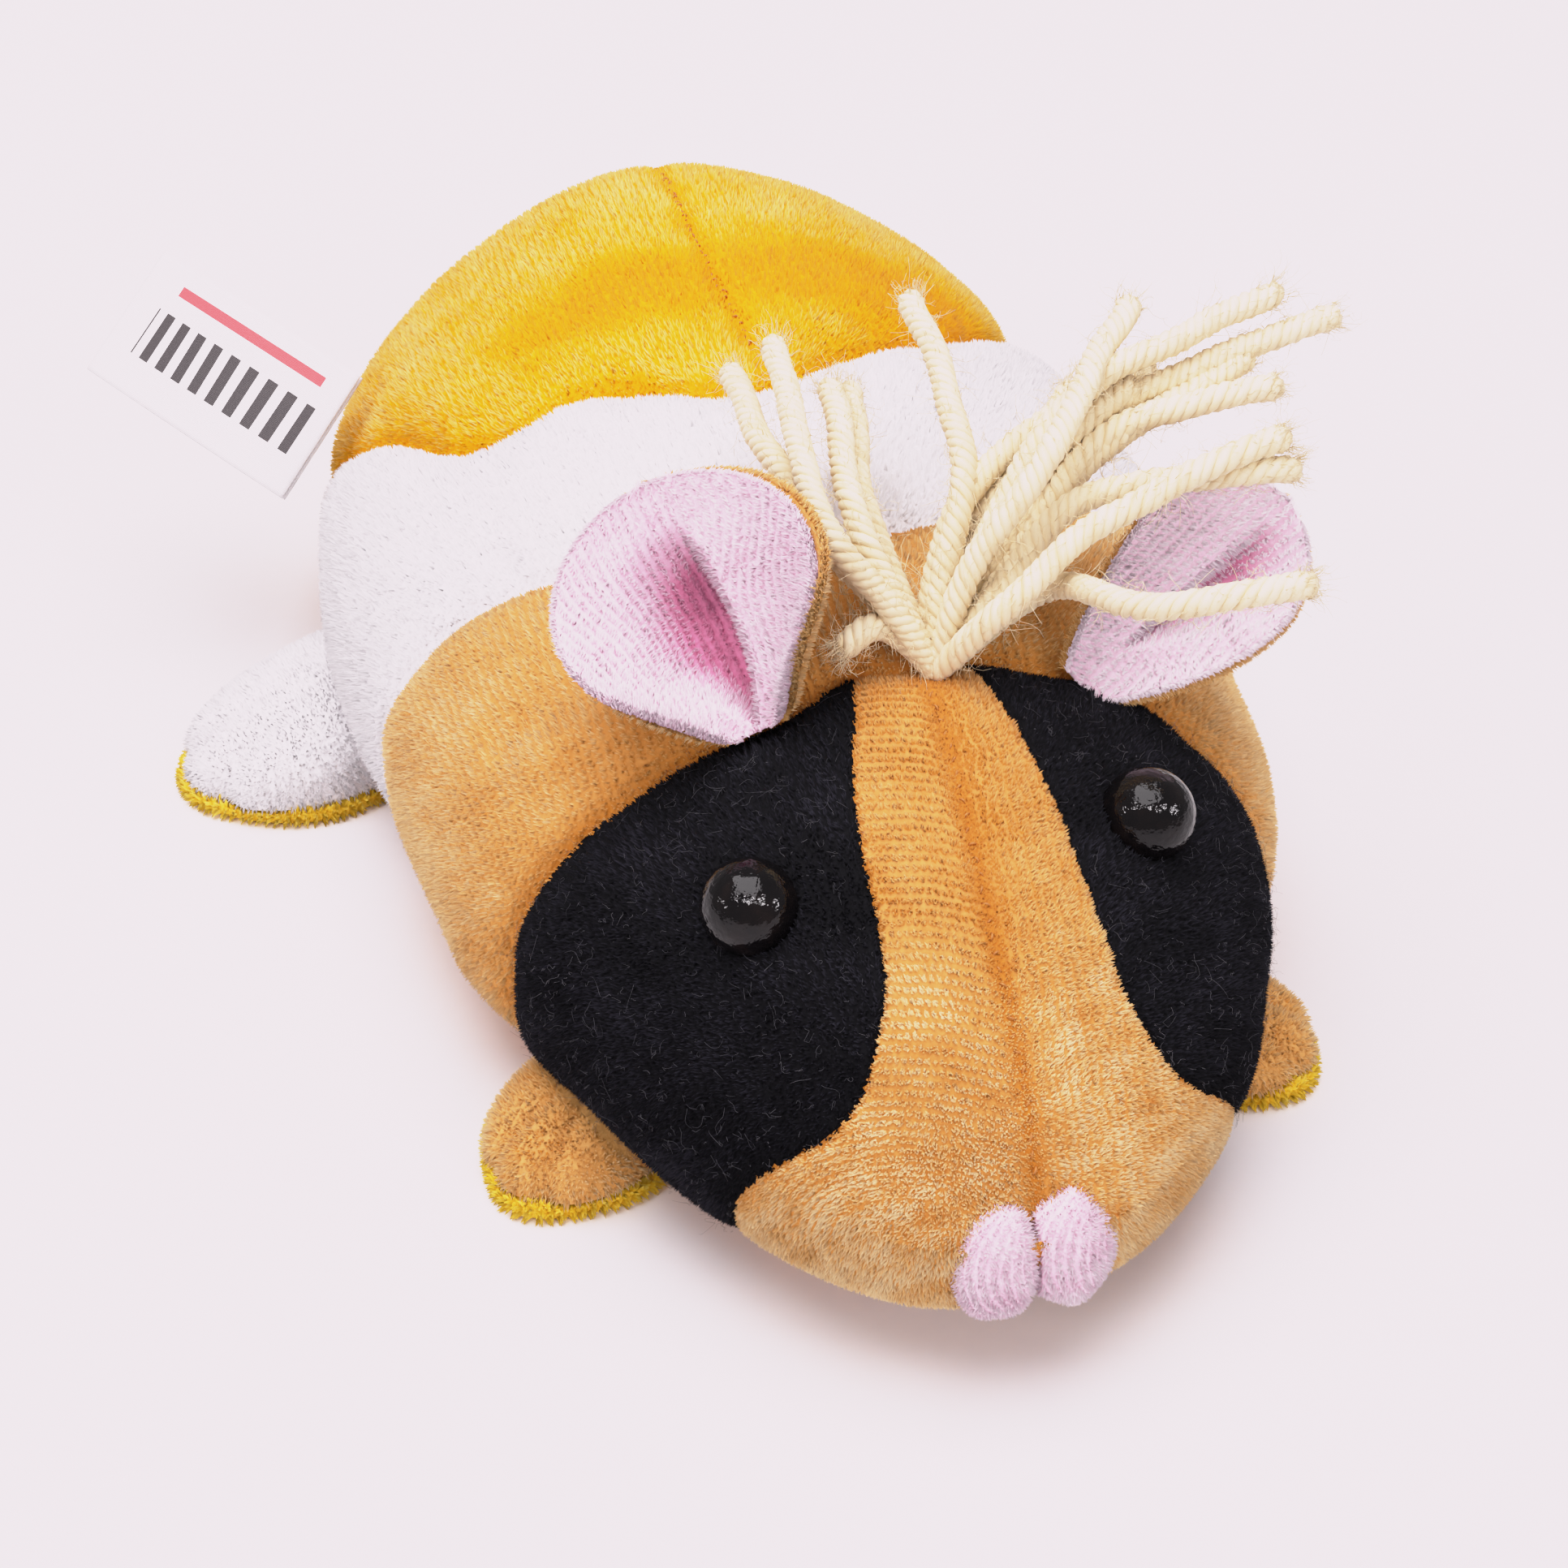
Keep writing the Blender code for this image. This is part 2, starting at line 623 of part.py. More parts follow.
def main():
    """Build the whole toy."""
    clear_scene()
    panels = make_panels()
    make_eyes(panels)
    make_nose(panels)
    points, faces = body_mesh(GAP)
    body_cutter = make_cutter("body_room", points, faces)
    make_ears(body_cutter)
    make_feet(body_cutter)
    make_label(body_cutter)
    make_yarn(body_cutter)


main()
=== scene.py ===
# %% [markdown]
# # A stuffed guinea pig toy in velour
# The toy is a bean bag sewn from knitted velour: a ribbed cloth with a short, dense pile.
# Everything here is built around the imported solids, which fix the size and the place of
# each piece.  First the frame is loaded.

# %% Load the frame
import math

import bmesh
import bpy
import numpy as np
from mathutils import Matrix, Vector


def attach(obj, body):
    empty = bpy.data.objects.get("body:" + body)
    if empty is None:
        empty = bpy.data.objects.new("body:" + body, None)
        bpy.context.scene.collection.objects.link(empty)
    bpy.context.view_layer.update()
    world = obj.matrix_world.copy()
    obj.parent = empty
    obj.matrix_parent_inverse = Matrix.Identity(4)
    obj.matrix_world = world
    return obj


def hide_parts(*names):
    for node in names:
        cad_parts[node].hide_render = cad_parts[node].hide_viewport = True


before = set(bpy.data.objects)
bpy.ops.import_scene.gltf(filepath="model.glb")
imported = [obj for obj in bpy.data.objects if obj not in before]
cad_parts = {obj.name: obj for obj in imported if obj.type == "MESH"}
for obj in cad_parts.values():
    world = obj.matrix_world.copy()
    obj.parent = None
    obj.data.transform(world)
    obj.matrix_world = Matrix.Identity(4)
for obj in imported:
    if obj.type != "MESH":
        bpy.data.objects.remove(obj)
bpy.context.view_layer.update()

MM = 0.001
BODY = "root"

# %% [markdown]
# ## Camera
# A camera is placed by three ideas that a person can check: how far it is turned round the
# toy, how high it looks down, and how far away it is.  Its axes are built from those angles,
# with a very small roll, and the long lens keeps the perspective gentle.

# %% Camera
CAMERA_AZIMUTH = math.radians(-16.6)
CAMERA_ELEVATION = math.radians(38.05)
CAMERA_ROLL = math.radians(0.84)
CAMERA_DISTANCE = 203.15 * MM
CAMERA_TARGET = Vector((-6.79, -23.36, 20.0)) * MM
CAMERA_LENS = 63.26

back = Vector((
    math.sin(CAMERA_AZIMUTH) * math.cos(CAMERA_ELEVATION),
    -math.cos(CAMERA_AZIMUTH) * math.cos(CAMERA_ELEVATION),
    math.sin(CAMERA_ELEVATION),
))
right = Vector((math.cos(CAMERA_AZIMUTH), math.sin(CAMERA_AZIMUTH), 0.0))
up = back.cross(right)
rolled_right = right * math.cos(CAMERA_ROLL) + up * math.sin(CAMERA_ROLL)
rolled_up = up * math.cos(CAMERA_ROLL) - right * math.sin(CAMERA_ROLL)
camera_data = bpy.data.cameras.new("camera")
camera_data.sensor_width = 36.0
camera_data.lens = CAMERA_LENS
camera_data.clip_start = 0.005
camera_data.clip_end = 10.0
camera = bpy.data.objects.new("camera", camera_data)
bpy.context.scene.collection.objects.link(camera)
facing = Matrix((rolled_right, rolled_up, back)).transposed().to_4x4()
camera.matrix_world = Matrix.Translation(CAMERA_TARGET + back * CAMERA_DISTANCE) @ facing
bpy.context.scene.camera = camera
print("camera at", [round(x / MM) for x in camera.location], "mm")

# %% [markdown]
# ## Tools for materials
# Every material is a shader with values of its own, a ramp that turns a number into a colour,
# and sometimes a bump.  Noise lies in the object's own space, so it has a size in metres.

# %% Helpers for materials
def join(node, inputs):
    """Give a node's inputs plain values or the outputs of other nodes."""
    for socket, value in inputs.items():
        if isinstance(value, bpy.types.NodeSocket):
            node.id_data.links.new(value, node.inputs[socket])
        else:
            node.inputs[socket].default_value = value
    return node


def add_node(tree, kind, inputs=None, **settings):
    """A new node with its settings and inputs."""
    node = tree.nodes.new("ShaderNode" + kind)
    for setting, value in settings.items():
        setattr(node, setting, value)
    return join(node, inputs or {})


def new_material(name):
    """A material, its node tree and its shader."""
    material = bpy.data.materials.new(name)
    material.use_nodes = True
    return material, material.node_tree, material.node_tree.nodes["Principled BSDF"]


def noise(tree, size, detail=2.0):
    """Noise whose marks are about size across."""
    place = add_node(tree, "TexCoord").outputs["Object"]
    inputs = {"Vector": place, "Scale": 1.0 / size, "Detail": detail}
    return add_node(tree, "TexNoise", inputs).outputs["Fac"]


def maths(tree, operation, *values):
    """Values, or outputs, put together."""
    return add_node(tree, "Math", dict(enumerate(values)), operation=operation).outputs[0]


def ramp(tree, value, colours):
    """The colour at a value on an even ramp of two or three colours."""
    node = add_node(tree, "ValToRGB", {"Fac": value})
    elements = node.color_ramp.elements
    if len(colours) == 3:
        elements.new(0.5)
    for element, place, colour in zip(elements, np.linspace(0, 1, len(colours)), colours):
        element.position = place
        element.color = (*colour, 1.0)
    return node.outputs["Color"]


def bump(tree, height, strength, distance):
    """Shading directions of a surface with some height."""
    inputs = {"Height": height, "Strength": strength, "Distance": distance}
    return add_node(tree, "Bump", inputs).outputs["Normal"]


def mottled_material(name, size, colours, roughness):
    """A matt material whose colour wanders along a ramp."""
    material, tree, shader = new_material(name)
    colour = ramp(tree, noise(tree, size), colours)
    join(shader, {"Base Color": colour, "Roughness": roughness})
    return material


print("material tools ready")

# %% [markdown]
# ## Floor and light
# A pale paper floor and a bright room give the high-key look of a product picture.  A large
# soft panel overhead does most of the work, and two wide, even lights fill from the front
# without showing in the glossy eyes.  Small panels give those eyes a broken row of glints and
# light nothing else.  A gentle shoulder at the bright end keeps whites from burning out.

# %% Floor and light
PAPER = (0.87, 0.83, 0.845)
PAPER_SHADED = [c * 0.97 for c in PAPER]
PAPER_GRAIN = 1.0 / 900.0
ROOM_COLOUR, ROOM_LIGHT = (1.0, 0.985, 0.99, 1.0), 0.34
GLINT_PLACES = ((-0.82, -0.02, 0.37), (-0.53, -0.32, 0.65), (-0.15, -0.50, 0.74),
                (0.27, -0.56, 0.65), (0.65, -0.48, 0.39))
GLINT_SIZE, GLINT_POWER = (0.20, 0.07), 1.6
FILL_PLACES = {"fill_left": (-0.90, -0.50, 0.55), "fill_right": (0.50, -1.00, 0.50)}
FILL_SPREAD, FILL_POWER = 30.0, 1.00
SHOULDER_RANGE = 2.0
SHOULDER = ((0.15, 0.30), (0.30, 0.59), (0.40, 0.735), (0.50, 0.815), (0.65, 0.860), (1.0, 0.885))
view_settings = bpy.context.scene.view_settings
view_settings.view_transform = "Standard"
view_settings.use_curve_mapping = True
film = view_settings.curve_mapping
film.white_level = (SHOULDER_RANGE,) * 3
WHITE_TINT = (0.985, 0.930, 0.966)
for film_curve, tint in zip(film.curves, WHITE_TINT):
    film_curve.points[-1].location = (1.0, SHOULDER[-1][1] * tint)
    for place, value in SHOULDER[:-1]:
        film_curve.points.new(place, value * tint)
film.update()


def soft_light(name, kind, place, size, power):
    """A soft light that faces the table: a panel, or a wide and even light from far away."""
    data = bpy.data.lights.new(name, kind)
    if kind == "AREA":
        data.shape = "RECTANGLE"
        data.size, data.size_y = size
    else:
        data.angle = math.radians(size)
    data.energy = power
    light = bpy.data.objects.new(name, data)
    light.location = place
    light.rotation_euler = Vector(place).to_track_quat("Z", "Y").to_euler()
    bpy.context.scene.collection.objects.link(light)
    return light


floor_mesh = bpy.data.meshes.new("floor")
FLOOR_REACH = 12.0
floor_corners = [(x * FLOOR_REACH, y * FLOOR_REACH, 0.0)
                 for x, y in ((-1, -1), (1, -1), (1, 1), (-1, 1))]
floor_mesh.from_pydata(floor_corners, [], [(0, 1, 2, 3)])
floor_mesh.materials.append(mottled_material("paper", PAPER_GRAIN, (PAPER_SHADED, PAPER), 0.9))
floor = bpy.data.objects.new("floor", floor_mesh)
bpy.context.scene.collection.objects.link(floor)

world = bpy.data.worlds.new("room")
bpy.context.scene.world = world
world.use_nodes = True
join(world.node_tree.nodes["Background"], {"Color": ROOM_COLOUR, "Strength": ROOM_LIGHT})
soft_light("softbox", "AREA", (-0.08, 0.02, 0.80), (0.72, 0.72), 9.8)
for n, place in enumerate(GLINT_PLACES):
    glint = soft_light("glint_%d" % n, "AREA", place, GLINT_SIZE, GLINT_POWER)
    glint.visible_diffuse = False
for name, place in FILL_PLACES.items():
    fill = soft_light(name, "SUN", place, FILL_SPREAD, FILL_POWER)
    fill.visible_glossy = False
print("floor and lights ready")

# %% [markdown]
# ## Tools for lines and grids
# Cloth is handled as whole arrays of points at once, which keeps it quick.  These functions
# run curves through points, lay a tape along a line, read off which way is out, and give a
# soft noise of a few crossing waves, which stands in for the uneven hand of the sewer.

# %% Helpers for lines and grids
def unit(vectors):
    """Vectors made one long."""
    return vectors / np.maximum(np.linalg.norm(vectors, axis=-1, keepdims=True), 1e-12)


def smooth_through(xs, ys, x):
    """Smooth curve through points, read at every x."""
    low = np.maximum(np.arange(len(xs)) - 1, 0)
    high = np.minimum(np.arange(len(xs)) + 1, len(xs) - 1)
    slopes = (ys[high] - ys[low]) / (xs[high] - xs[low])
    i = np.clip(np.searchsorted(xs, x, side="right") - 1, 0, len(xs) - 2)
    width = xs[i + 1] - xs[i]
    t = (x - xs[i]) / width
    rise = ys[i + 1] - ys[i]
    pull = (1 - t) * (slopes[i] * width - rise) - t * (slopes[i + 1] * width - rise)
    return ys[i] + t * rise + t * (1 - t) * pull


def smooth_line(knots, count):
    """Many points on a smooth line through a few."""
    marks, t = np.arange(len(knots), dtype=float), np.linspace(0, len(knots) - 1, count)
    return np.stack([smooth_through(marks, knots[:, k], t) for k in range(3)], axis=-1)


def tape_along(line):
    """How far along a line each of its points lies."""
    return np.append(0.0, np.cumsum(np.linalg.norm(np.diff(line, axis=0), axis=1)))


def read_line(line, marks, at):
    """Read a line at any place between its marks."""
    return np.stack([np.interp(at, marks, line[:, k]) for k in range(3)], axis=-1)


def ease_between(value, low, high):
    """Smooth step from 0 at low to 1 at high."""
    t = np.clip((value - low) / (high - low), 0.0, 1.0)
    return t * t * (3 - 2 * t)


def smooth_noise(points, size, seed):
    """Soft noise from about -1 to 1 made of a few crossing waves, about size across."""
    rng = np.random.default_rng(seed)
    total = np.zeros(points.shape[:-1])
    for _ in range(9):
        wave = unit(rng.normal(size=3)) * 2 * np.pi / (size * rng.uniform(0.7, 1.6))
        total += np.sin(points @ wave + rng.uniform(0, 2 * np.pi))
    return total / 4.0


def grid_normals(grid, bag_ends=0):
    """Outward direction at each grid point.  Near the ends of the bag the crown lines of many
    rows run into one another, so in that many rows the direction turns straight out."""
    down, across = np.gradient(grid, axis=0), np.gradient(grid, axis=1)
    normals = -unit(np.cross(down, across))
    if bag_ends:
        fade = np.clip((np.arange(bag_ends, 0, -1) - 2) / 8, 0, 1)[:, None, None]
        for rows, outward, share in ((slice(0, bag_ends), -1.0, fade),
                                     (slice(-bag_ends, None), 1.0, fade[::-1])):
            normals[rows] *= np.where(normals[rows, :, 1:2] * outward < 0, -1.0, 1.0)
            normals[rows] = normals[rows] * (1 - share) + share * (0.0, outward, 0.0)
        normals = unit(normals)
    normals[0], normals[-1] = normals[1].mean(axis=0), normals[-2].mean(axis=0)
    return unit(normals)


print("line and grid tools ready")

# %% [markdown]
# ## The shape of the bag
# The body is one stuffed bag.  A table of nine stations gives its half width, height and
# so on, with a smooth curve through each column; a superellipse turns them into sections.
# The same numbers drive the solids, so cloth laid on this surface fits them.

# %% Stations and sections
BODY_LENGTH = 131.5 * MM
FLOOR_SINK = 0.9 * MM
FLANK_POWER = 3.6
BODY_STATIONS = np.array((
    # share, half width, height, widest line, drift of the centre seam, crown power
    (0.00, 19.5, 34.0, 12.7, -1.7, 1.65),
    (0.10, 25.2, 35.4, 13.5, -1.2, 1.65),
    (0.22, 29.7, 37.4, 14.5, -0.7, 1.65),
    (0.36, 33.8, 38.6, 15.6, 0.8, 1.65),
    (0.50, 35.3, 37.4, 16.0, 0.3, 1.65),
    (0.64, 37.0, 39.9, 16.4, 0.6, 1.50),
    (0.78, 38.2, 45.0, 16.8, 2.4, 1.37),
    (0.90, 38.8, 49.3, 17.0, 4.6, 1.36),
    (1.00, 39.0, 53.0, 17.2, 6.4, 1.36),
))


def station(column, share):
    """One column of the station table at any share of the way along the body."""
    return smooth_through(BODY_STATIONS[:, 0], BODY_STATIONS[:, column], share)


def section(share):
    """Half width, height of the widest line, height of the crown, and taper of a section."""
    taper = np.sin(np.pi * np.clip(share, 0.0, 1.0))
    half_width = station(1, share) * MM * taper ** 0.75
    return half_width, station(3, share) * MM, station(2, share) * MM * taper ** 0.6, taper


def bag_point(share, angle):
    """Points of the plain bag; the angle turns from the left flank over the crown."""
    half_width, widest, crown, taper = section(share)
    side, rise = np.cos(angle), np.sin(angle)
    power = np.where(rise > 0, station(5, share), FLANK_POWER)
    lift = np.abs(rise) ** (2 / power)
    x = half_width * np.sign(side) * np.abs(side) ** (2 / power)
    y = -BODY_LENGTH / 2 * np.cos(np.pi * share) + 0 * angle
    upper = widest + np.maximum(crown - widest, 0.0) * lift
    lower = widest - (widest + FLOOR_SINK) * taper ** 0.5 * lift
    z = np.where(rise > 0, upper, lower)
    return np.stack([x + station(4, share) * MM, y, z], axis=-1)


def share_at(y):
    """Share of the way along the body at y."""
    return np.arccos(np.clip(-2 * y / BODY_LENGTH, -1.0, 1.0)) / np.pi


def centre_seam_x(y):
    """Sideways place of the middle seam at y."""
    return station(4, share_at(y)) * MM


print("bag length %.1f mm" % (BODY_LENGTH / MM))

# %% [markdown]
# ## An even grid on the bag
# Angles bunch up where a section turns sharply, so the cloth would be fine in one place and
# coarse in another.  Each section is therefore measured with a tape, from the crown down to
# the middle of the belly on either side, and the grid is spread evenly along that tape.

# %% Even grid
ROWS, COLUMNS = 300, 400


def even_grid(rows, columns):
    """Points of the bag on an even grid: row by row from snout to tail, and round each
    section from the belly up the right flank, over the crown and down the left flank."""
    grid = np.zeros((rows + 1, columns + 1, 3))
    fine = np.linspace(0.0, 1.0, 721)
    half = columns // 2
    for i, share in enumerate(np.linspace(0.0, 1.0, rows + 1)):
        for side in (1, -1):
            angles = np.pi / 2 - side * fine * np.pi
            line = bag_point(np.full(len(fine), share), angles)
            tape = tape_along(line)
            part = read_line(line, tape, np.linspace(0.0, max(tape[-1], 1e-9), half + 1))
            if side > 0:
                grid[i, half:] = part
            else:
                grid[i, :half + 1] = part[::-1]
    return grid


bag = even_grid(ROWS, COLUMNS)
print("grid of", bag.shape[0] * bag.shape[1], "points")

# %% [markdown]
# ## Where the seams run
# Each seam is a field over the grid: zero on the seam, and growing away from it.  Dividing a
# field by its slope along the cloth gives a true distance on the surface.  With these
# fields, the panels can be told apart, seams can be pulled in and the pile can lean away.

# %% Seam fields
FACE_SEAM = np.array((
    # sideways place and place along the body
    (-40.0, -30.6), (-20.0, -30.8), (-8.0, -31.0), (-4.0, -30.3), (0.0, -31.2), (5.0, -31.0),
    (9.0, -31.6), (14.0, -31.8), (17.0, -32.3), (19.5, -33.4), (22.0, -34.0), (25.0, -34.0),
    (27.5, -34.7), (30.0, -36.0), (40.0, -41.0),
)) * MM
NECK_SEAM = np.array((
    (-40.0, -3.0), (-33.0, -4.5), (-28.0, -4.9), (-24.5, -6.2), (-21.4, -7.5), (-15.0, -10.5),
    (-8.0, -14.0), (0.0, -16.8), (4.0, -16.5), (12.0, -13.0), (21.0, -8.5), (28.0, -6.0),
    (34.0, -4.5), (40.0, -3.0),
)) * MM
RUMP_SEAM = np.array((
    (-40.0, 41.0), (-34.0, 35.5), (-30.6, 30.3), (-28.0, 25.0), (-24.9, 17.0), (-21.6, 13.2),
    (-18.4, 11.9), (-15.1, 11.9), (-9.8, 10.0), (-4.6, 6.2), (0.0, 5.6), (3.3, 6.9),
    (8.2, 10.0), (13.0, 13.0), (19.4, 17.7), (27.5, 26.7), (31.5, 32.8), (40.0, 43.0),
)) * MM
BELLY_RISE = 3.0 * MM
BLAZE_TOP_Y = -26.0 * MM
BLAZE_EDGES = {
    # places on the bag down the edge of the blaze and round the snout, right and left
    -1: np.array((
        (-3.0, -25.0, 34.5), (-3.7, -29.5, 33.8), (-5.1, -34.5, 33.3), (-6.5, -39.0, 31.7),
        (-7.4, -44.2, 29.5), (-7.7, -48.5, 27.4), (-8.1, -51.5, 25.5), (-8.9, -53.5, 23.8),
        (-9.8, -55.0, 22.3), (-10.9, -56.3, 20.8), (-12.2, -57.1, 19.4), (-13.7, -57.3, 18.0),
        (-15.6, -56.9, 16.6), (-17.2, -56.3, 15.1), (-18.2, -55.6, 13.4), (-18.8, -54.6, 11.4),
        (-18.8, -53.9, 9.5), (-18.4, -52.9, 6.7), (-17.3, -51.3, 3.5), (-15.0, -49.0, 0.5),
    )) * MM,
    1: np.array((
        (3.0, -26.0, 34.5), (4.3, -33.3, 34.0), (5.2, -37.0, 32.7), (5.7, -41.1, 31.1),
        (6.0, -44.2, 29.7), (6.2, -48.0, 27.7), (6.6, -51.5, 25.4), (7.0, -54.3, 23.3),
        (7.7, -55.7, 21.8), (8.4, -56.8, 20.4), (9.1, -57.5, 19.3), (10.0, -58.1, 18.2),
        (11.2, -58.3, 17.1), (12.7, -58.1, 15.9), (14.2, -57.5, 14.4), (15.5, -56.5, 12.6),
        (16.6, -55.0, 10.0), (17.2, -53.2, 7.0), (16.8, -51.5, 3.5), (15.0, -49.0, 0.5),
    )) * MM,
}


def surface_distance(field, grid):
    """Turn a field on a grid into distance along the surface."""
    down, across = np.gradient(grid, axis=0), np.gradient(grid, axis=1)
    f_down, f_across = np.gradient(field)
    e = (down * down).sum(-1)
    f = (down * across).sum(-1)
    g = (across * across).sum(-1)
    area = np.maximum(e * g - f * f, 1e-18)
    slope = (g * f_down ** 2 - 2 * f * f_down * f_across + e * f_across ** 2) / area
    return field / np.sqrt(np.clip(slope, 0.05, 25.0))


def signed_distance(points, normals, edge):
    """Distance from a curved edge on the bag, positive to one side of it."""
    line = smooth_line(edge, 120)
    best, signed = np.full(len(points), 1e9), np.zeros(len(points))
    for a, d in zip(line[:-1], np.diff(line, axis=0)):
        t = np.clip(((points - a) @ d) / (d @ d), 0, 1)
        offset = points - a - t[:, None] * d
        distance = np.linalg.norm(offset, axis=1)
        side = np.sign((np.cross(d, offset) * normals).sum(-1))
        closer = distance < best
        best[closer] = distance[closer]
        signed[closer] = (side * distance)[closer]
    return signed


def blaze_field(grid):
    """Distance from the edge of the blaze, negative on the tan side."""
    off = grid[..., 0] - centre_seam_x(grid[..., 1])
    normals = grid_normals(grid)
    field = np.full(off.shape, 20 * MM)
    for side, edge in BLAZE_EDGES.items():
        near = (grid[..., 1] < BLAZE_TOP_Y) & (off * side >= 0)
        field[near] = side * signed_distance(grid[near], normals[near], edge)
    return field


def seam_y(x, knots):
    """Place along the body of a seam that runs across it."""
    return smooth_through(knots[:, 0], knots[:, 1], np.clip(x, knots[0, 0], knots[-1, 0]))


def seam_fields(grid):
    """All the seam fields of the body on a grid."""
    x, y, z = grid[..., 0], grid[..., 1], grid[..., 2]
    fields = {
        "face": y - seam_y(x, FACE_SEAM), "neck": y - seam_y(x, NECK_SEAM),
        "rump": y - seam_y(x, RUMP_SEAM), "centre": x - centre_seam_x(y),
        "belly": z - BELLY_RISE, "blaze": blaze_field(grid),
    }
    return {name: surface_distance(field, grid) for name, field in fields.items()}


fields = seam_fields(bag)
in_face, in_rump = fields["face"] < 0, fields["rump"] > 0
in_belly = fields["belly"] < 0
seam_gaps = np.stack([
    *(np.abs(fields[name]) for name in ("face", "neck", "rump")),
    np.where(in_face | in_rump, np.abs(fields["centre"]), 1.0) + np.where(in_belly, 1.0, 0.0),
    np.where(in_face, np.abs(fields["blaze"]), 1.0),
    np.abs(fields["belly"]) + np.where(np.abs(bag[..., 1]) > 62 * MM, 1.0, 0.0),
])
upper_gaps = seam_gaps.copy()
upper_gaps[:5][:, in_belly] = 1.0
seam_gap = upper_gaps.min(axis=0)
print("cloth within 2 mm of a seam: %.0f%%" % (100 * (seam_gap < 2 * MM).mean()))

# %% [markdown]
# ## Blowing up the bag
# Cloth that is sewn along a line and pushed from inside swells between its seams. A coarse
# copy of the bag is blown up with Blender's Cloth, with the seams and the belly pinned. It
# is made ten times larger than life, because the solver is tuned for things of that size.
# How far each point moved is then read back and added to the fine grid.

# %% Blow up a coarse bag
SIM_ROWS, SIM_COLUMNS, SIM_SCALE = 44, 64, 10.0
SIM_PRESSURE, SIM_FRAMES = 44.0, 20
SWELL_CAP = 1.3 * MM


def coarse_swell():
    """How far cloth pinned at the seams is pushed out, on a coarse grid."""
    coarse = even_grid(SIM_ROWS, SIM_COLUMNS)
    rough = seam_fields(coarse)
    face_or_rump = (rough["face"] < 0) | (rough["rump"] > 0)
    pinned = (np.abs(rough["face"]) < 2 * MM) | (np.abs(rough["neck"]) < 2 * MM)
    pinned |= (np.abs(rough["rump"]) < 2 * MM) | (rough["belly"] < 1 * MM)
    pinned |= face_or_rump & (np.abs(rough["centre"]) < 1.6 * MM)
    index = np.arange((SIM_ROWS - 1) * SIM_COLUMNS).reshape(SIM_ROWS - 1, SIM_COLUMNS) + 1
    index = np.concatenate([index, index[:, :1]], axis=1)
    last = index.max() + 1
    points = np.concatenate([coarse[:1, 0], coarse[1:-1, :-1].reshape(-1, 3), coarse[-1:, 0]])
    held = np.concatenate([[True], pinned[1:-1, :-1].ravel(), [True]])
    faces = [(0, b, a) for a, b in zip(index[0, :-1], index[0, 1:])]
    for i in range(SIM_ROWS - 2):
        faces += [(index[i, j], index[i, j + 1], index[i + 1, j + 1], index[i + 1, j])
                  for j in range(SIM_COLUMNS)]
    faces += [(last, a, b) for a, b in zip(index[-1, :-1], index[-1, 1:])]
    mesh = bpy.data.meshes.new("blown_bag")
    mesh.from_pydata((points * SIM_SCALE).tolist(), [], [tuple(map(int, f)) for f in faces])
    dummy = bpy.data.objects.new("blown_bag", mesh)
    bpy.context.scene.collection.objects.link(dummy)
    group = dummy.vertex_groups.new(name="sewn")
    group.add([int(i) for i in np.nonzero(held)[0]], 1.0, "REPLACE")
    cloth = dummy.modifiers.new("cloth", "CLOTH")
    cloth.settings.vertex_group_mass = "sewn"
    cloth.settings.use_pressure = True
    cloth.settings.uniform_pressure_force = SIM_PRESSURE
    cloth.settings.effector_weights.gravity = 0.0
    for frame_number in range(1, SIM_FRAMES + 1):
        bpy.context.scene.frame_set(frame_number)
    blown = dummy.evaluated_get(bpy.context.evaluated_depsgraph_get()).data
    moved = np.array([v.co for v in blown.vertices]) / SIM_SCALE - points
    bpy.context.scene.frame_set(1)
    bpy.data.objects.remove(dummy)
    grid = np.zeros(coarse.shape)
    grid[1:-1] = moved[index]
    return coarse, grid


def spread_grid(values, rows, columns):
    """Read a coarse grid at every point of a finer one, with soft joins."""
    r = np.linspace(0, values.shape[0] - 1, rows + 1)
    c = np.linspace(0, values.shape[1] - 1, columns + 1)
    i = np.clip(r.astype(int), 0, values.shape[0] - 2)
    j = np.clip(c.astype(int), 0, values.shape[1] - 2)
    fr, fc = ease_between((r - i)[:, None], 0, 1), ease_between((c - j)[None, :], 0, 1)
    low = values[i][:, j] * (1 - fc) + values[i][:, j + 1] * fc
    high = values[i + 1][:, j] * (1 - fc) + values[i + 1][:, j + 1] * fc
    return low * (1 - fr) + high * fr


coarse, moved = coarse_swell()
outward = np.clip((moved * grid_normals(coarse)).sum(-1), 0.0, SWELL_CAP)
blown_swell = spread_grid(outward, ROWS, COLUMNS)
print("cloth swells by up to %.1f mm" % (blown_swell.max() / MM))

# %% [markdown]
# ## The cloth of the bag
# The swell, the valleys at the seams and some softness are added to the plain bag.  The
# backing of the cloth lies a pile's depth inside the solids, so that the tips of the pile
# reach the true outline.

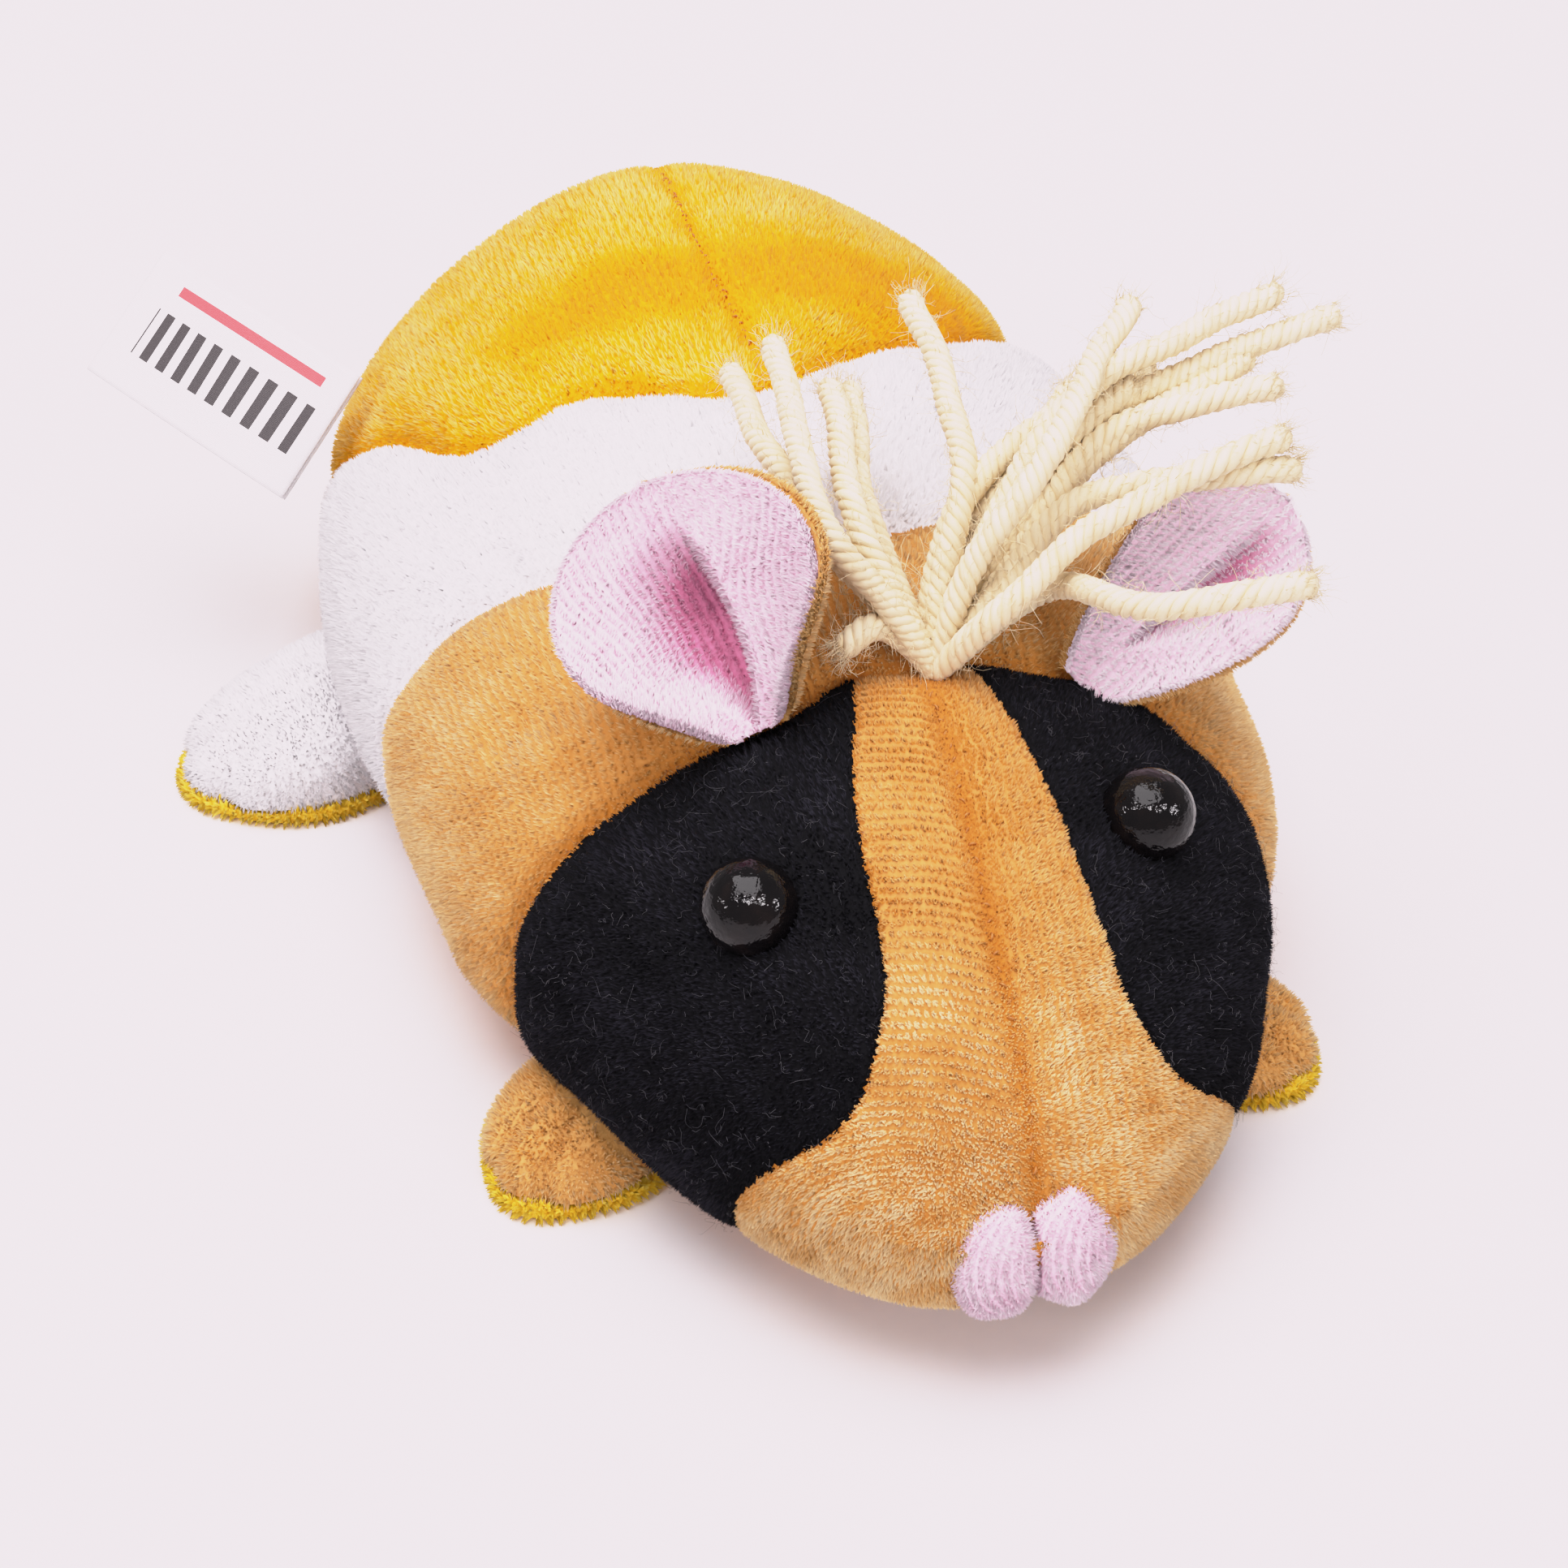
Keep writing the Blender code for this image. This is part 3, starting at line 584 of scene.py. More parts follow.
# %% Final shape of the cloth
VALLEY_DEPTHS = (1.4, 1.0, 1.4, 0.32, 0.35, 0.5)
VALLEY_WIDE, VALLEY_TIGHT = 3.2 * MM, 0.9 * MM
CREASES = (
    # from, to, width and height: a flatter left flank, and soft folds beside the right ear
    ((30.5, -35.0, 21.0), (33.0, -18.0, 22.5), 9.0, -2.3),
    ((27.0, -40.0, 14.0), (23.0, -47.0, 12.0), 6.0, -1.5),
    ((-29.0, -26.0, 10.0), (-28.0, -31.5, 7.5), 5.0, 0.8),
    ((-10.5, -30.5, 33.0), (-13.5, -27.0, 32.0), 3.0, -0.9),
    ((-13.0, -27.0, 32.0), (-25.0, -24.0, 26.0), 1.7, 0.55),
    ((-13.0, -23.5, 33.5), (-27.0, -19.5, 26.0), 2.0, -0.45),
)
PILE_DEPTH = 0.5 * MM
END_ROWS = ROWS // 12
valley = np.zeros(seam_gap.shape)
for gap, depth in zip(upper_gaps, VALLEY_DEPTHS):
    shape = 0.4 * np.exp(-(gap / VALLEY_WIDE) ** 2) + 0.6 * np.exp(-(gap / VALLEY_TIGHT) ** 2)
    valley = np.maximum(valley, depth * MM * shape)
folds = np.zeros(seam_gap.shape)
for start, end, width, height in CREASES:
    start, way = np.array(start) * MM, (np.array(end) - np.array(start)) * MM
    t = np.clip(((bag - start) @ way) / (way @ way), 0, 1)
    away = np.linalg.norm(bag - start - t[..., None] * way, axis=-1)
    folds += height * MM * np.exp(-(away / (width * MM)) ** 2)
softness = smooth_noise(bag, 26 * MM, 5) * 0.28 * MM * np.clip(seam_gap / (5 * MM), 0, 1)
ends = np.clip(np.sin(np.pi * np.linspace(0, 1, ROWS + 1)) / 0.25, 0, 1)[:, None]
lift = (blown_swell - valley + softness + folds) * ends
skin_grid = bag + grid_normals(bag, END_ROWS) * (lift - PILE_DEPTH)[..., None]
skin_grid[..., 2] = np.maximum(skin_grid[..., 2], 0.25 * MM)
skin_normals = grid_normals(skin_grid, END_ROWS)
print("cloth lies from %.1f to %.1f mm off the plain bag" % (lift.min() / MM, lift.max() / MM))

# %% [markdown]
# ## Velour
# Velour is knitted cloth whose loops were cut into a dense pile.  Seen straight down, the
# eye looks between the fibres, into their shade, where the colour looks deep.  Seen along the
# cloth, the sides of the fibres catch the light and look pale.  Both are painted: the backing
# has the deep colour as painted shade, each tuft of pile has a ramp from painted shade at its
# foot to painted light at its tip, and the material adds uneven dye and a fixed sheen.

# %% Materials for backing and pile
CLOTHS = {
    # deep in the pile as painted shade, along it, and at its tips as painted light
    "tan": ((0.570, 0.205, 0.025), (0.770, 0.410, 0.130), (0.890, 0.650, 0.360)),
    "yellow": ((0.880, 0.310, 0.000), (0.900, 0.410, 0.000), (0.920, 0.620, 0.200)),
    "lemon": ((0.720, 0.330, 0.008), (0.900, 0.560, 0.030), (0.950, 0.720, 0.130)),
    "white": ((0.860, 0.830, 0.850), (0.920, 0.895, 0.910), (0.950, 0.930, 0.940)),
    "pink": ((0.780, 0.280, 0.450), (0.930, 0.640, 0.770), (0.960, 0.820, 0.890)),
    "black": ((0.0008, 0.0007, 0.0014), (0.0028, 0.0026, 0.0046), (0.020, 0.019, 0.028)),
}
SHEEN = {"tan": 1.0, "yellow": 0.25, "lemon": 0.3, "white": 0.15, "pink": 0.4, "black": 0.02}
# Painted shade at the foot of a tuft: how much deeper its colour is than along it.
FOOT_PAINTED_SHADE = {"tan": 0.36, "yellow": 0.32, "lemon": 0.30, "white": 0.25, "pink": 0.26,
             "black": 0.40}
BLOTCH_SIZE, GRAIN_SIZE, TONE_SWING = 2.2 * MM, 0.35 * MM, 0.24


def velour_material(cloth, part):
    """Velour of one colour, for the backing or for the pile."""
    material, tree, shader = new_material("%s_velour_%s" % (cloth, part))
    grain = noise(tree, GRAIN_SIZE, 1.0)
    tone = add_node(tree, "Attribute", attribute_name="tone").outputs["Fac"]
    for uneven in (noise(tree, BLOTCH_SIZE), grain):
        swing = maths(tree, "MULTIPLY_ADD", uneven, TONE_SWING, -TONE_SWING / 2)
        tone = maths(tree, "ADD", tone, swing)
    join(shader, {
        "Base Color": ramp(tree, tone, CLOTHS[cloth]), "Roughness": 0.85,
        "Specular IOR Level": 0.15, "Sheen Weight": SHEEN[cloth], "Sheen Roughness": 0.45,
        "Sheen Tint": (*CLOTHS[cloth][2], 1.0)})
    if part == "backing":
        join(shader, {"Normal": bump(tree, grain, 0.5, 0.2 * MM)})
    return material


velours = {(cloth, part): velour_material(cloth, part)
           for cloth in CLOTHS for part in ("backing", "pile")}
print(len(velours), "velour materials")

# %% [markdown]
# ## Meshes from arrays
# Tens of thousands of tufts would take minutes with one Python step per vertex.  Blender can
# take a whole array at once with foreach_set, so every piece is made by one short helper
# that also lays its UV map, its tone and its shading directions.

# %% Pieces from arrays
WELD_REACH = 0.004 * MM


def piece_from_arrays(name, points, faces, material, uv, tone=None, shading=None):
    """A mesh object that rides on the body.  uv and tone are one per vertex."""
    mesh = bpy.data.meshes.new(name)
    sides = faces.shape[1]
    mesh.vertices.add(len(points))
    mesh.vertices.foreach_set("co", np.ascontiguousarray(points, dtype=np.float32).ravel())
    mesh.loops.add(faces.size)
    mesh.loops.foreach_set("vertex_index", np.ascontiguousarray(faces, dtype=np.int32).ravel())
    mesh.polygons.add(len(faces))
    mesh.polygons.foreach_set("loop_start", np.arange(0, faces.size, sides, dtype=np.int32))
    mesh.polygons.foreach_set("use_smooth", np.ones(len(faces), dtype=bool))
    mesh.update(calc_edges=True)
    layer = mesh.uv_layers.new(name="OFBake")
    layer.data.foreach_set("uv", uv[faces.ravel()].astype(np.float32).ravel())
    if tone is not None:
        values = mesh.attributes.new("tone", "FLOAT", "POINT")
        values.data.foreach_set("value", np.asarray(tone, dtype=np.float32))
    mesh.materials.append(material)
    if shading is not None:
        mesh.normals_split_custom_set_from_vertices(shading.astype(np.float32))
    thing = bpy.data.objects.new(name, mesh)
    bpy.context.scene.collection.objects.link(thing)
    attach(thing, BODY)
    return thing


def weld_piece(piece):
    """Join points that coincide, and drop faces that have no area."""
    tidy = bmesh.new()
    tidy.from_mesh(piece.data)
    bmesh.ops.remove_doubles(tidy, verts=tidy.verts, dist=WELD_REACH)
    tidy.to_mesh(piece.data)
    tidy.free()


def cell_faces(i, j, wide):
    """Faces of chosen cells of a grid that is so many points wide."""
    corner = i * wide + j
    return np.stack([corner, corner + 1, corner + wide + 1, corner + wide], axis=-1)


def all_faces(rows, columns):
    """Faces of every cell of a grid of points."""
    i, j = np.meshgrid(np.arange(rows - 1), np.arange(columns - 1), indexing="ij")
    return cell_faces(i.ravel(), j.ravel(), columns)


def on_map(u, v, width=0.98):
    """Places on the unwrap, kept off its edges."""
    return np.stack([0.01 + width * u, 0.01 + 0.98 * v], axis=-1)


def map_of_grid(rows, columns, width=0.98):
    """Unwrap of every point of a grid."""
    v, u = np.meshgrid(np.linspace(0, 1, rows), np.linspace(0, 1, columns), indexing="ij")
    return on_map(u.ravel(), v.ravel(), width)


print("piece helpers ready")

# %% [markdown]
# ## Cutting the cloth into panels
# The real toy is sewn from panels: two blaze halves that run down into the snout, two black
# eye patches, the neck, the white middle, two rump halves and the belly.  Each panel is the
# part of the grid where its seam fields have the right signs.  It stands for the solid of the
# same name, which it hides.


def panel_masks(fields):
    """Which points belong to which panel."""
    belly = fields["belly"] < 0
    face, rump = fields["face"] < 0, fields["rump"] > 0
    tan = face & (fields["blaze"] < 0)
    left = fields["centre"] > 0
    up = ~belly
    return {
        "belly": belly,
        "blaze_left": up & tan & left,
        "blaze_right": up & tan & ~left,
        "eye_patch_left": up & face & ~tan & left,
        "eye_patch_right": up & face & ~tan & ~left,
        "neck": up & ~face & (fields["neck"] < 0),
        "middle": up & (fields["neck"] >= 0) & ~rump,
        "rump_left": up & rump & left,
        "rump_right": up & rump & ~left,
    }


PANEL_CLOTH = {
    "belly": "yellow", "blaze_left": "tan", "blaze_right": "tan",
    "eye_patch_left": "black", "eye_patch_right": "black", "neck": "tan",
    "middle": "white", "rump_left": "yellow", "rump_right": "yellow",
}
cell_fields = {name: (f[:-1, :-1] + f[1:, :-1] + f[:-1, 1:] + f[1:, 1:]) / 4
               for name, f in fields.items()}
cell_panels = panel_masks(cell_fields)
unwraps = {}


def unwrap(name, rows, columns):
    """Place on the panel's own unwrap, which fills the whole map."""
    low_r, high_r, low_c, high_c = unwraps[name]
    return on_map((columns - low_c) / (high_c - low_c), (rows - low_r) / (high_r - low_r))


def make_backing(name):
    """The cloth of one panel, deep in colour as painted shade under the pile, with more painted
    shade in the seams.
    """
    i, j = np.argwhere(cell_panels[name]).T
    unwraps[name] = (i.min(), i.max() + 1, j.min(), j.max() + 1)
    wide = COLUMNS + 1
    used, faces = np.unique(cell_faces(i, j, wide), return_inverse=True)
    # Painted shade: the backing is darker where it runs into a seam.
    tone = 0.22 - 0.25 * np.exp(-(seam_gap.ravel()[used] / (0.8 * MM)) ** 2)
    cloth = PANEL_CLOTH[name]
    skin = piece_from_arrays(
        name + "_cloth", skin_grid.reshape(-1, 3)[used], faces.reshape(-1, 4),
        velours[cloth, "backing"], unwrap(name, used // wide, used % wide), tone)
    weld_piece(skin)
    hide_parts(name)
    return skin


backings = {name: make_backing(name) for name in PANEL_CLOTH}
print({name: len(skin.data.polygons) for name, skin in backings.items()})

# %% [markdown]
# ## Pile
# The pile is what makes velour look soft, so it is real mesh: small closed spikes with three
# sides, each a bundle of fibres.  Knitting puts them in ribs, in short stitches along each
# rib, so the roots are drawn towards a lattice of ribs and stitches.  The tufts lean along
# the nap, and their tips bunch together.  They are shaded with the direction of the cloth,
# tilted a little tuft by tuft, so that the coat looks soft and not prickly.

# %% Grow the pile
RIB_PITCH, STITCH_PITCH = 0.78 * MM, 0.50 * MM
PIECE_TUFTS = 48000
PATCH_CORNERS = 0.0015 * np.array(((-1, -1), (1, -1), (0, 1), (0, 0)))
TABLE_CLEARANCE = 0.02 * MM
TUFT_FACES = np.array(((0, 1, 3), (1, 2, 3), (2, 0, 3), (0, 2, 1)))
# Painted light at the tip of each tuft, and how far the tufts' shading is tilted at random.
TIP_PAINTED_LIGHT, TUFT_TILT = 0.20, 0.15


def tuft_arrays(roots, normals, leans, lengths, widths, tones, tilts, deep, rng):
    """Points, faces, tones and shading of many tufts, with painted shade at their feet and
    painted light at their tips.
    """
    count = len(roots)
    side = unit(np.cross(normals, unit(rng.normal(size=(count, 3)))))
    other = np.cross(normals, side)
    points = np.empty((count, 4, 3))
    for k in range(3):
        turn = 2 * np.pi * k / 3
        ring = side * math.cos(turn) + other * math.sin(turn)
        points[:, k] = roots + ring * widths[:, None] / 2 - normals * 0.08 * MM
    points[:, 3] = roots + unit(normals + leans) * lengths[:, None]
    points[..., 2] = np.maximum(points[..., 2], TABLE_CLEARANCE)
    faces = (np.arange(count)[:, None, None] * 4 + TUFT_FACES).reshape(-1, 3)
    tone = np.repeat(tones[:, None], 4, axis=1)
    tone[:, :3] -= deep
    tone[:, 3] += TIP_PAINTED_LIGHT
    shading = unit(normals + tilts)
    return points.reshape(-1, 3), faces, tone.ravel(), np.repeat(shading, 4, axis=0)


def grow_tufts(name, roots, normals, leans, lengths, widths, tones, uv, cloth, seed):
    """Pile in one or more pieces of a modest size, sorted from left to right."""
    rng = np.random.default_rng(seed)
    tilts = leans * 0.25 + rng.normal(size=roots.shape) * TUFT_TILT
    order = np.argsort(roots[:, 0], kind="stable")
    pieces = int(np.ceil(len(order) / PIECE_TUFTS))
    for n, chosen in enumerate(np.array_split(order, pieces)):
        points, faces, tone, shading = tuft_arrays(
            roots[chosen], normals[chosen], leans[chosen], lengths[chosen],
            widths[chosen], tones[chosen], tilts[chosen], FOOT_PAINTED_SHADE[cloth], rng)
        patches = (uv[chosen][:, None] + PATCH_CORNERS).reshape(-1, 2)
        piece_from_arrays("%s_pile_%d" % (name, n + 1), points, faces,
                          velours[cloth, "pile"], patches, tone, shading)
    return len(order)


def read_grid(grid, rows, columns):
    """Read a grid between its points."""
    i = np.clip(rows.astype(int), 0, grid.shape[0] - 2)
    j = np.clip(columns.astype(int), 0, grid.shape[1] - 2)
    fr, fc = rows - i, columns - j
    if grid.ndim == 3:
        fr, fc = fr[:, None], fc[:, None]
    low = grid[i, j] * (1 - fc) + grid[i, j + 1] * fc
    high = grid[i + 1, j] * (1 - fc) + grid[i + 1, j + 1] * fc
    return low * (1 - fr) + high * fr


print("up to", PIECE_TUFTS * 4, "triangles in a piece of pile")

# %% [markdown]
# ## Roots in ribs and stitches
# Roots are dealt out cell by cell over a grid of cloth, so that they are even, and then drawn
# towards the ribs and stitches.  Distances across and along the cloth come from a tape laid
# over the grid.  The same function serves the bag, the ears, the feet and the nose.

# %% Pile on any grid of cloth
RIB_PULL, STITCH_PULL, RIB_SHADE, STITCH_SHADE = 0.50, 0.40, 0.10, 0.10
CROSS_SLANT = 0.35
BRUSH_SIZE, RUFFLE_SIZE, WANDER_SIZE = 7 * MM, 2.4 * MM, 2.0 * MM
LEAN_JITTER, TONE_JITTER, BUNCH_LEAN = 0.20, 0.08, 0.8 * MM
SHORTEST, LONGEST, THINNEST, THICKEST = 0.80, 1.12, 0.8, 1.25
# Near a seam: how far that reaches, how much plainer, more upright and shorter the pile is,
# and how much painted shade darkens it.
SEAM_HUSH, SEAM_PLAIN, SEAM_UPRIGHT, SEAM_SHORT, SEAM_PAINTED_SHADE = 1.2 * MM, 0.75, 0.9, 0.40, 0.35


def cloth_facts(grid):
    """Directions, distances and cell areas of a grid of cloth."""
    across = np.linalg.norm(np.diff(grid, axis=1), axis=-1)
    down = np.linalg.norm(np.diff(grid, axis=0), axis=-1)
    tape = np.pad(np.cumsum(across, axis=1), ((0, 0), (1, 0)))
    area = np.linalg.norm(np.cross(
        grid[1:, :-1] - grid[:-1, :-1], grid[:-1, 1:] - grid[:-1, :-1]), axis=-1)
    return {
        "grid": grid, "normals": grid_normals(grid), "area": area,
        "tape": tape - tape[:, grid.shape[1] // 2][:, None],
        "along": np.pad(np.cumsum(down, axis=0), ((1, 0), (0, 0))),
        "back": unit(np.gradient(grid, axis=0)), "out": unit(np.gradient(grid, axis=1)),
    }


def grown(cells):
    """Chosen cells and all their neighbours."""
    wide = np.pad(cells, 1)
    return np.any([wide[1 + i:1 + i + cells.shape[0], 1 + j:1 + j + cells.shape[1]]
                   for i in (-1, 0, 1) for j in (-1, 0, 1)], axis=0)


def pull_to_lattice(value, pitch, pull):
    """How far to move towards the middle of the nearest rib or stitch."""
    return ((np.floor(value / pitch) + 0.5) * pitch - value) * pull


def pile_on_cloth(name, facts, cells, cloth, density, nap, seed, place, crosswise=False,
                  gap=None, length=PILE_DEPTH * 1.4, width=0.25 * MM, tone=0.62, shade=None,
                  keep=None, ribbed=1.0, wander=0.0, panel=None):
    """Pile over the chosen cells of a grid.  place turns rows and columns into the unwrap;
    shade and ribbed may be grids of their own.  On the bag, panel says whose tufts stay, so
    that the colours meet in a smooth line."""
    rng = np.random.default_rng(seed)
    want = facts["area"] * density / MM ** 2 * cells
    count = np.floor(want + rng.random(want.shape)).astype(int)
    repeat = np.repeat(np.argwhere(count > 0), count[count > 0], axis=0)
    rows, columns = (repeat + rng.random(repeat.shape)).T
    if panel is not None:
        own = panel_masks({k: read_grid(f, rows, columns) for k, f in fields.items()})[panel]
        rows, columns = rows[own], columns[own]
    if keep is not None:
        kept = keep(read_grid(facts["grid"], rows, columns))
        rows, columns = rows[kept], columns[kept]
    roots, tape, along = [read_grid(facts[key], rows, columns)
                          for key in ("grid", "tape", "along")]
    normals, back, out = [unit(read_grid(facts[key], rows, columns))
                          for key in ("normals", "back", "out")]
    rib, stitch = (cross_rib(roots), tape) if crosswise else (tape, along)
    rib_way, stitch_way = (back, out) if crosswise else (out, back)
    strength = read_grid(ribbed, rows, columns) if np.ndim(ribbed) else ribbed
    at_seam = np.zeros(len(roots))
    if gap is not None:
        at_seam = np.exp(-(read_grid(gap, rows, columns) / SEAM_HUSH) ** 2)
    strength = strength * (1 - SEAM_PLAIN * at_seam)
    rib = rib + smooth_noise(roots, WANDER_SIZE, 13) * wander
    stitch = stitch + smooth_noise(roots, WANDER_SIZE, 14) * wander
    staggered = stitch + np.floor(rib / RIB_PITCH) % 2 * STITCH_PITCH / 2
    to_rib = pull_to_lattice(rib, RIB_PITCH, RIB_PULL * strength)
    to_stitch = pull_to_lattice(staggered, STITCH_PITCH, STITCH_PULL * strength)
    bunch = rib_way * to_rib[:, None] + stitch_way * to_stitch[:, None]
    roots = roots + bunch
    off_rib = np.abs(to_rib) / (RIB_PULL * RIB_PITCH / 2)
    off_stitch = np.abs(to_stitch) / (STITCH_PULL * STITCH_PITCH / 2)
    nap_back, nap_out = nap
    sideways = np.where(tape > 0, 1.0, -1.0)
    brush = smooth_noise(roots, BRUSH_SIZE, 11)
    ruffle = smooth_noise(roots, RUFFLE_SIZE, 12)
    leans = back * (nap_back + 0.25 * brush)[:, None]
    leans = leans + out * ((nap_out + 0.2 * ruffle) * sideways)[:, None]
    leans = leans * (1 - SEAM_UPRIGHT * at_seam)[:, None] + bunch / BUNCH_LEAN
    leans = leans + rng.normal(size=roots.shape) * LEAN_JITTER
    lengths = length * rng.uniform(SHORTEST, LONGEST, len(roots)) * (1 - SEAM_SHORT * at_seam)
    lengths *= 1 - 0.25 * off_rib * (0.6 + 0.4 * off_stitch)
    widths = width * rng.uniform(THINNEST, THICKEST, len(roots))
    tones = tone + 0.10 * brush + 0.08 * ruffle + rng.normal(size=len(roots)) * TONE_JITTER
    tones -= (RIB_SHADE * off_rib + STITCH_SHADE * off_stitch) * np.minimum(1.0, 0.4 + strength)
    # Painted shade on the pile near a seam.
    tones -= SEAM_PAINTED_SHADE * at_seam
    if shade is not None:
        tones += read_grid(shade, rows, columns)
    return grow_tufts(name, roots, normals, leans, lengths, widths, tones,
                      place(rows, columns), cloth, seed)


seam_profile_y = np.linspace(-BODY_LENGTH / 2, BODY_LENGTH / 2, 2001)[1:-1]
seam_profile = bag_point(share_at(seam_profile_y), np.full(len(seam_profile_y), np.pi / 2))
seam_profile_mark = tape_along(seam_profile[:, 1:])


def cross_rib(points):
    """Distance down the centre seam at which the cross rib through each point meets it."""
    level = points[:, 1] + CROSS_SLANT * (points[:, 0] - centre_seam_x(points[:, 1]))
    return np.interp(level, seam_profile_y, seam_profile_mark)


bag_facts = cloth_facts(skin_grid)
bag_facts["normals"] = skin_normals
print("bag measures %.0f mm round its widest section"
      % (np.ptp(bag_facts["tape"], axis=1).max() / MM))

# %% [markdown]
# ## Pile on the bag
# The near face gets the finest pile, the flanks and the back a coarser one, and the belly,
# which lies on the table, a thin one.  On the right half of the blaze the cloth was cut
# across the grain, so its ribs run across the snout; elsewhere they run from snout to tail.

# %% Pile on the bag
PANEL_PILE = {
    # tufts per square mm, nap back and outwards, length, and how far ribs wander, in mm
    "belly": (1.6, (0.6, 0.0), 0.70, 0.0),
    "neck": (15.5, (0.45, 0.3), 0.60, 0.0),
    "middle": (11.0, (0.5, 0.1), 0.70, 0.0),
    "rump_left": (11.0, (0.55, 0.1), 0.70, 0.0),
    "rump_right": (11.0, (0.55, 0.1), 0.70, 0.0),
    "blaze_left": (34.0, (0.25, 0.25), 0.50, 0.15),
    "blaze_right": (34.0, (0.10, 0.25), 0.50, 0.0),
    "eye_patch_left": (24.0, (0.15, 0.15), 0.60, 0.35),
    "eye_patch_right": (24.0, (0.15, 0.15), 0.60, 0.35),
}


def spot_shade(field_x, field_y, centre, reach):
    """A soft oval spot in two seam fields."""
    return np.exp(-((field_x - centre[0] * MM) / (reach[0] * MM)) ** 2
                  - ((field_y - centre[1] * MM) / (reach[1] * MM)) ** 2)


# The rump's pile is a little paler overall, with painted shade in soft, deep spots just behind
# its seam.
rump_painted_shade = 0.18 - 1.10 * np.max([
    spot_shade(bag[..., 0], bag[..., 1], centre, reach)
    for centre, reach in (((-7.0, 22.5), (9.0, 5.5)), ((6.5, 22.5), (8.0, 6.5)),
                          ((16.5, 21.0), (8.5, 7.5)))], axis=0)
near_snout = ease_between(-bag[..., 1], 48 * MM, 56 * MM)
# Painted shade beside the centre seam of the blaze, strongest on its upper part.
beside = np.exp(-np.abs(fields["centre"] / (2.1 * MM)) ** 1.5)
upper_blaze = ease_between(bag[..., 1], -58 * MM, -48 * MM)
centre_seam_painted_shade = beside * (0.30 + 0.70 * upper_blaze)
centre_seam_painted_shade = centre_seam_painted_shade * (0.8 + 0.5 * smooth_noise(bag, 5 * MM, 31))
mottled = 0.14 * smooth_noise(bag, 3.0 * MM, 32) * near_snout
# Painted sheen where the cloth turns down round the snout.
snout_painted_sheen = 0.38 * near_snout
# Each half of the blaze: a tone of its own, painted shade by the seam, uneven mottling and
# painted sheen on the snout.
blaze_right_painted_light_and_shade = -0.18 - 0.42 * centre_seam_painted_shade + mottled + snout_painted_sheen
blaze_left_painted_light_and_shade = -0.26 - 0.20 * centre_seam_painted_shade + mottled + snout_painted_sheen
# The ribs fade where the cloth of the blaze turns down round the snout.
snout_fade = 1 - ease_between(-bag[..., 1], 57 * MM, 62 * MM)
snout_fade *= 1 - ease_between(np.abs(fields["centre"]), 9 * MM, 13 * MM)
RIBBED = {"eye_patch_left": 0.6, "eye_patch_right": 0.6, "blaze_left": 0.55,
          "blaze_right": 0.4 + 0.55 * snout_fade, "middle": 0.3, "rump_left": 0.4,
          "rump_right": 0.4, "neck": 0.9}
# Painted light: between the ears the pile of the neck is paler than on the flanks.
neck_painted_light = -0.02 + 0.22 * spot_shade(bag[..., 0], bag[..., 1], (1.0, -28.0), (13.0, 6.0))
# Tone shifts of the panels, which carry their painted shade and painted light.
PANEL_SHADE = {"rump_left": rump_painted_shade, "rump_right": rump_painted_shade, "neck": neck_painted_light,
               "blaze_left": blaze_left_painted_light_and_shade, "blaze_right": blaze_right_painted_light_and_shade}
tuft_count = {}
for n, (name, cloth) in enumerate(PANEL_CLOTH.items()):
    density, nap, length, wander = PANEL_PILE[name]
    tuft_count[name] = pile_on_cloth(
        name, bag_facts, grown(cell_panels[name]), cloth, density, nap, 100 + n,
        lambda rows, columns, name=name: unwrap(name, rows, columns),
        crosswise=name == "blaze_right", gap=seam_gap, shade=PANEL_SHADE.get(name),
        length=length * MM, ribbed=RIBBED.get(name, 1.0), wander=wander * MM, panel=name)
print(tuft_count, "triangles:", 4 * sum(tuft_count.values()))

# %% [markdown]
# ## Bead eyes
# The eyes are black glass-like beads, sewn tight so that they sit in the patch.  The bead is
# a ball with a fine grid; a very shallow uneven bump breaks up the highlights as on a cheap
# moulded bead, and a clear coat gives the wet look.

# %% Eyes
EYE_RADIUS, EYE_PROUD = 3.3 * MM, 0.8 * MM
# Share of the way along the body, and angle round it in degrees.
EYES = {"right": (0.265, 180.0 - 49.4), "left": (0.2680, 55.7)}


def ball_grid(rows, columns):
    """Directions from the centre of a ball, row by row from the top."""
    fall = np.linspace(0, np.pi, rows + 1)[:, None]
    turn = np.linspace(0, 2 * np.pi, columns + 1)[None, :]
    ones = np.ones_like(turn)
    return np.stack([np.sin(fall) * np.cos(turn), np.sin(fall) * np.sin(turn),
                     np.cos(fall) * ones], axis=-1)


def grid_piece(name, grid, material, tone=None, flip=False):
    """A piece from one grid of points, with the grid itself as its unwrap."""
    rows, columns = grid.shape[:2]
    faces = all_faces(rows, columns)
    tones = None if tone is None else np.full(rows * columns, tone)
    piece = piece_from_arrays(name, grid.reshape(-1, 3), faces[:, ::-1] if flip else faces,
                              material, map_of_grid(rows, columns), tones)
    weld_piece(piece)
    return piece


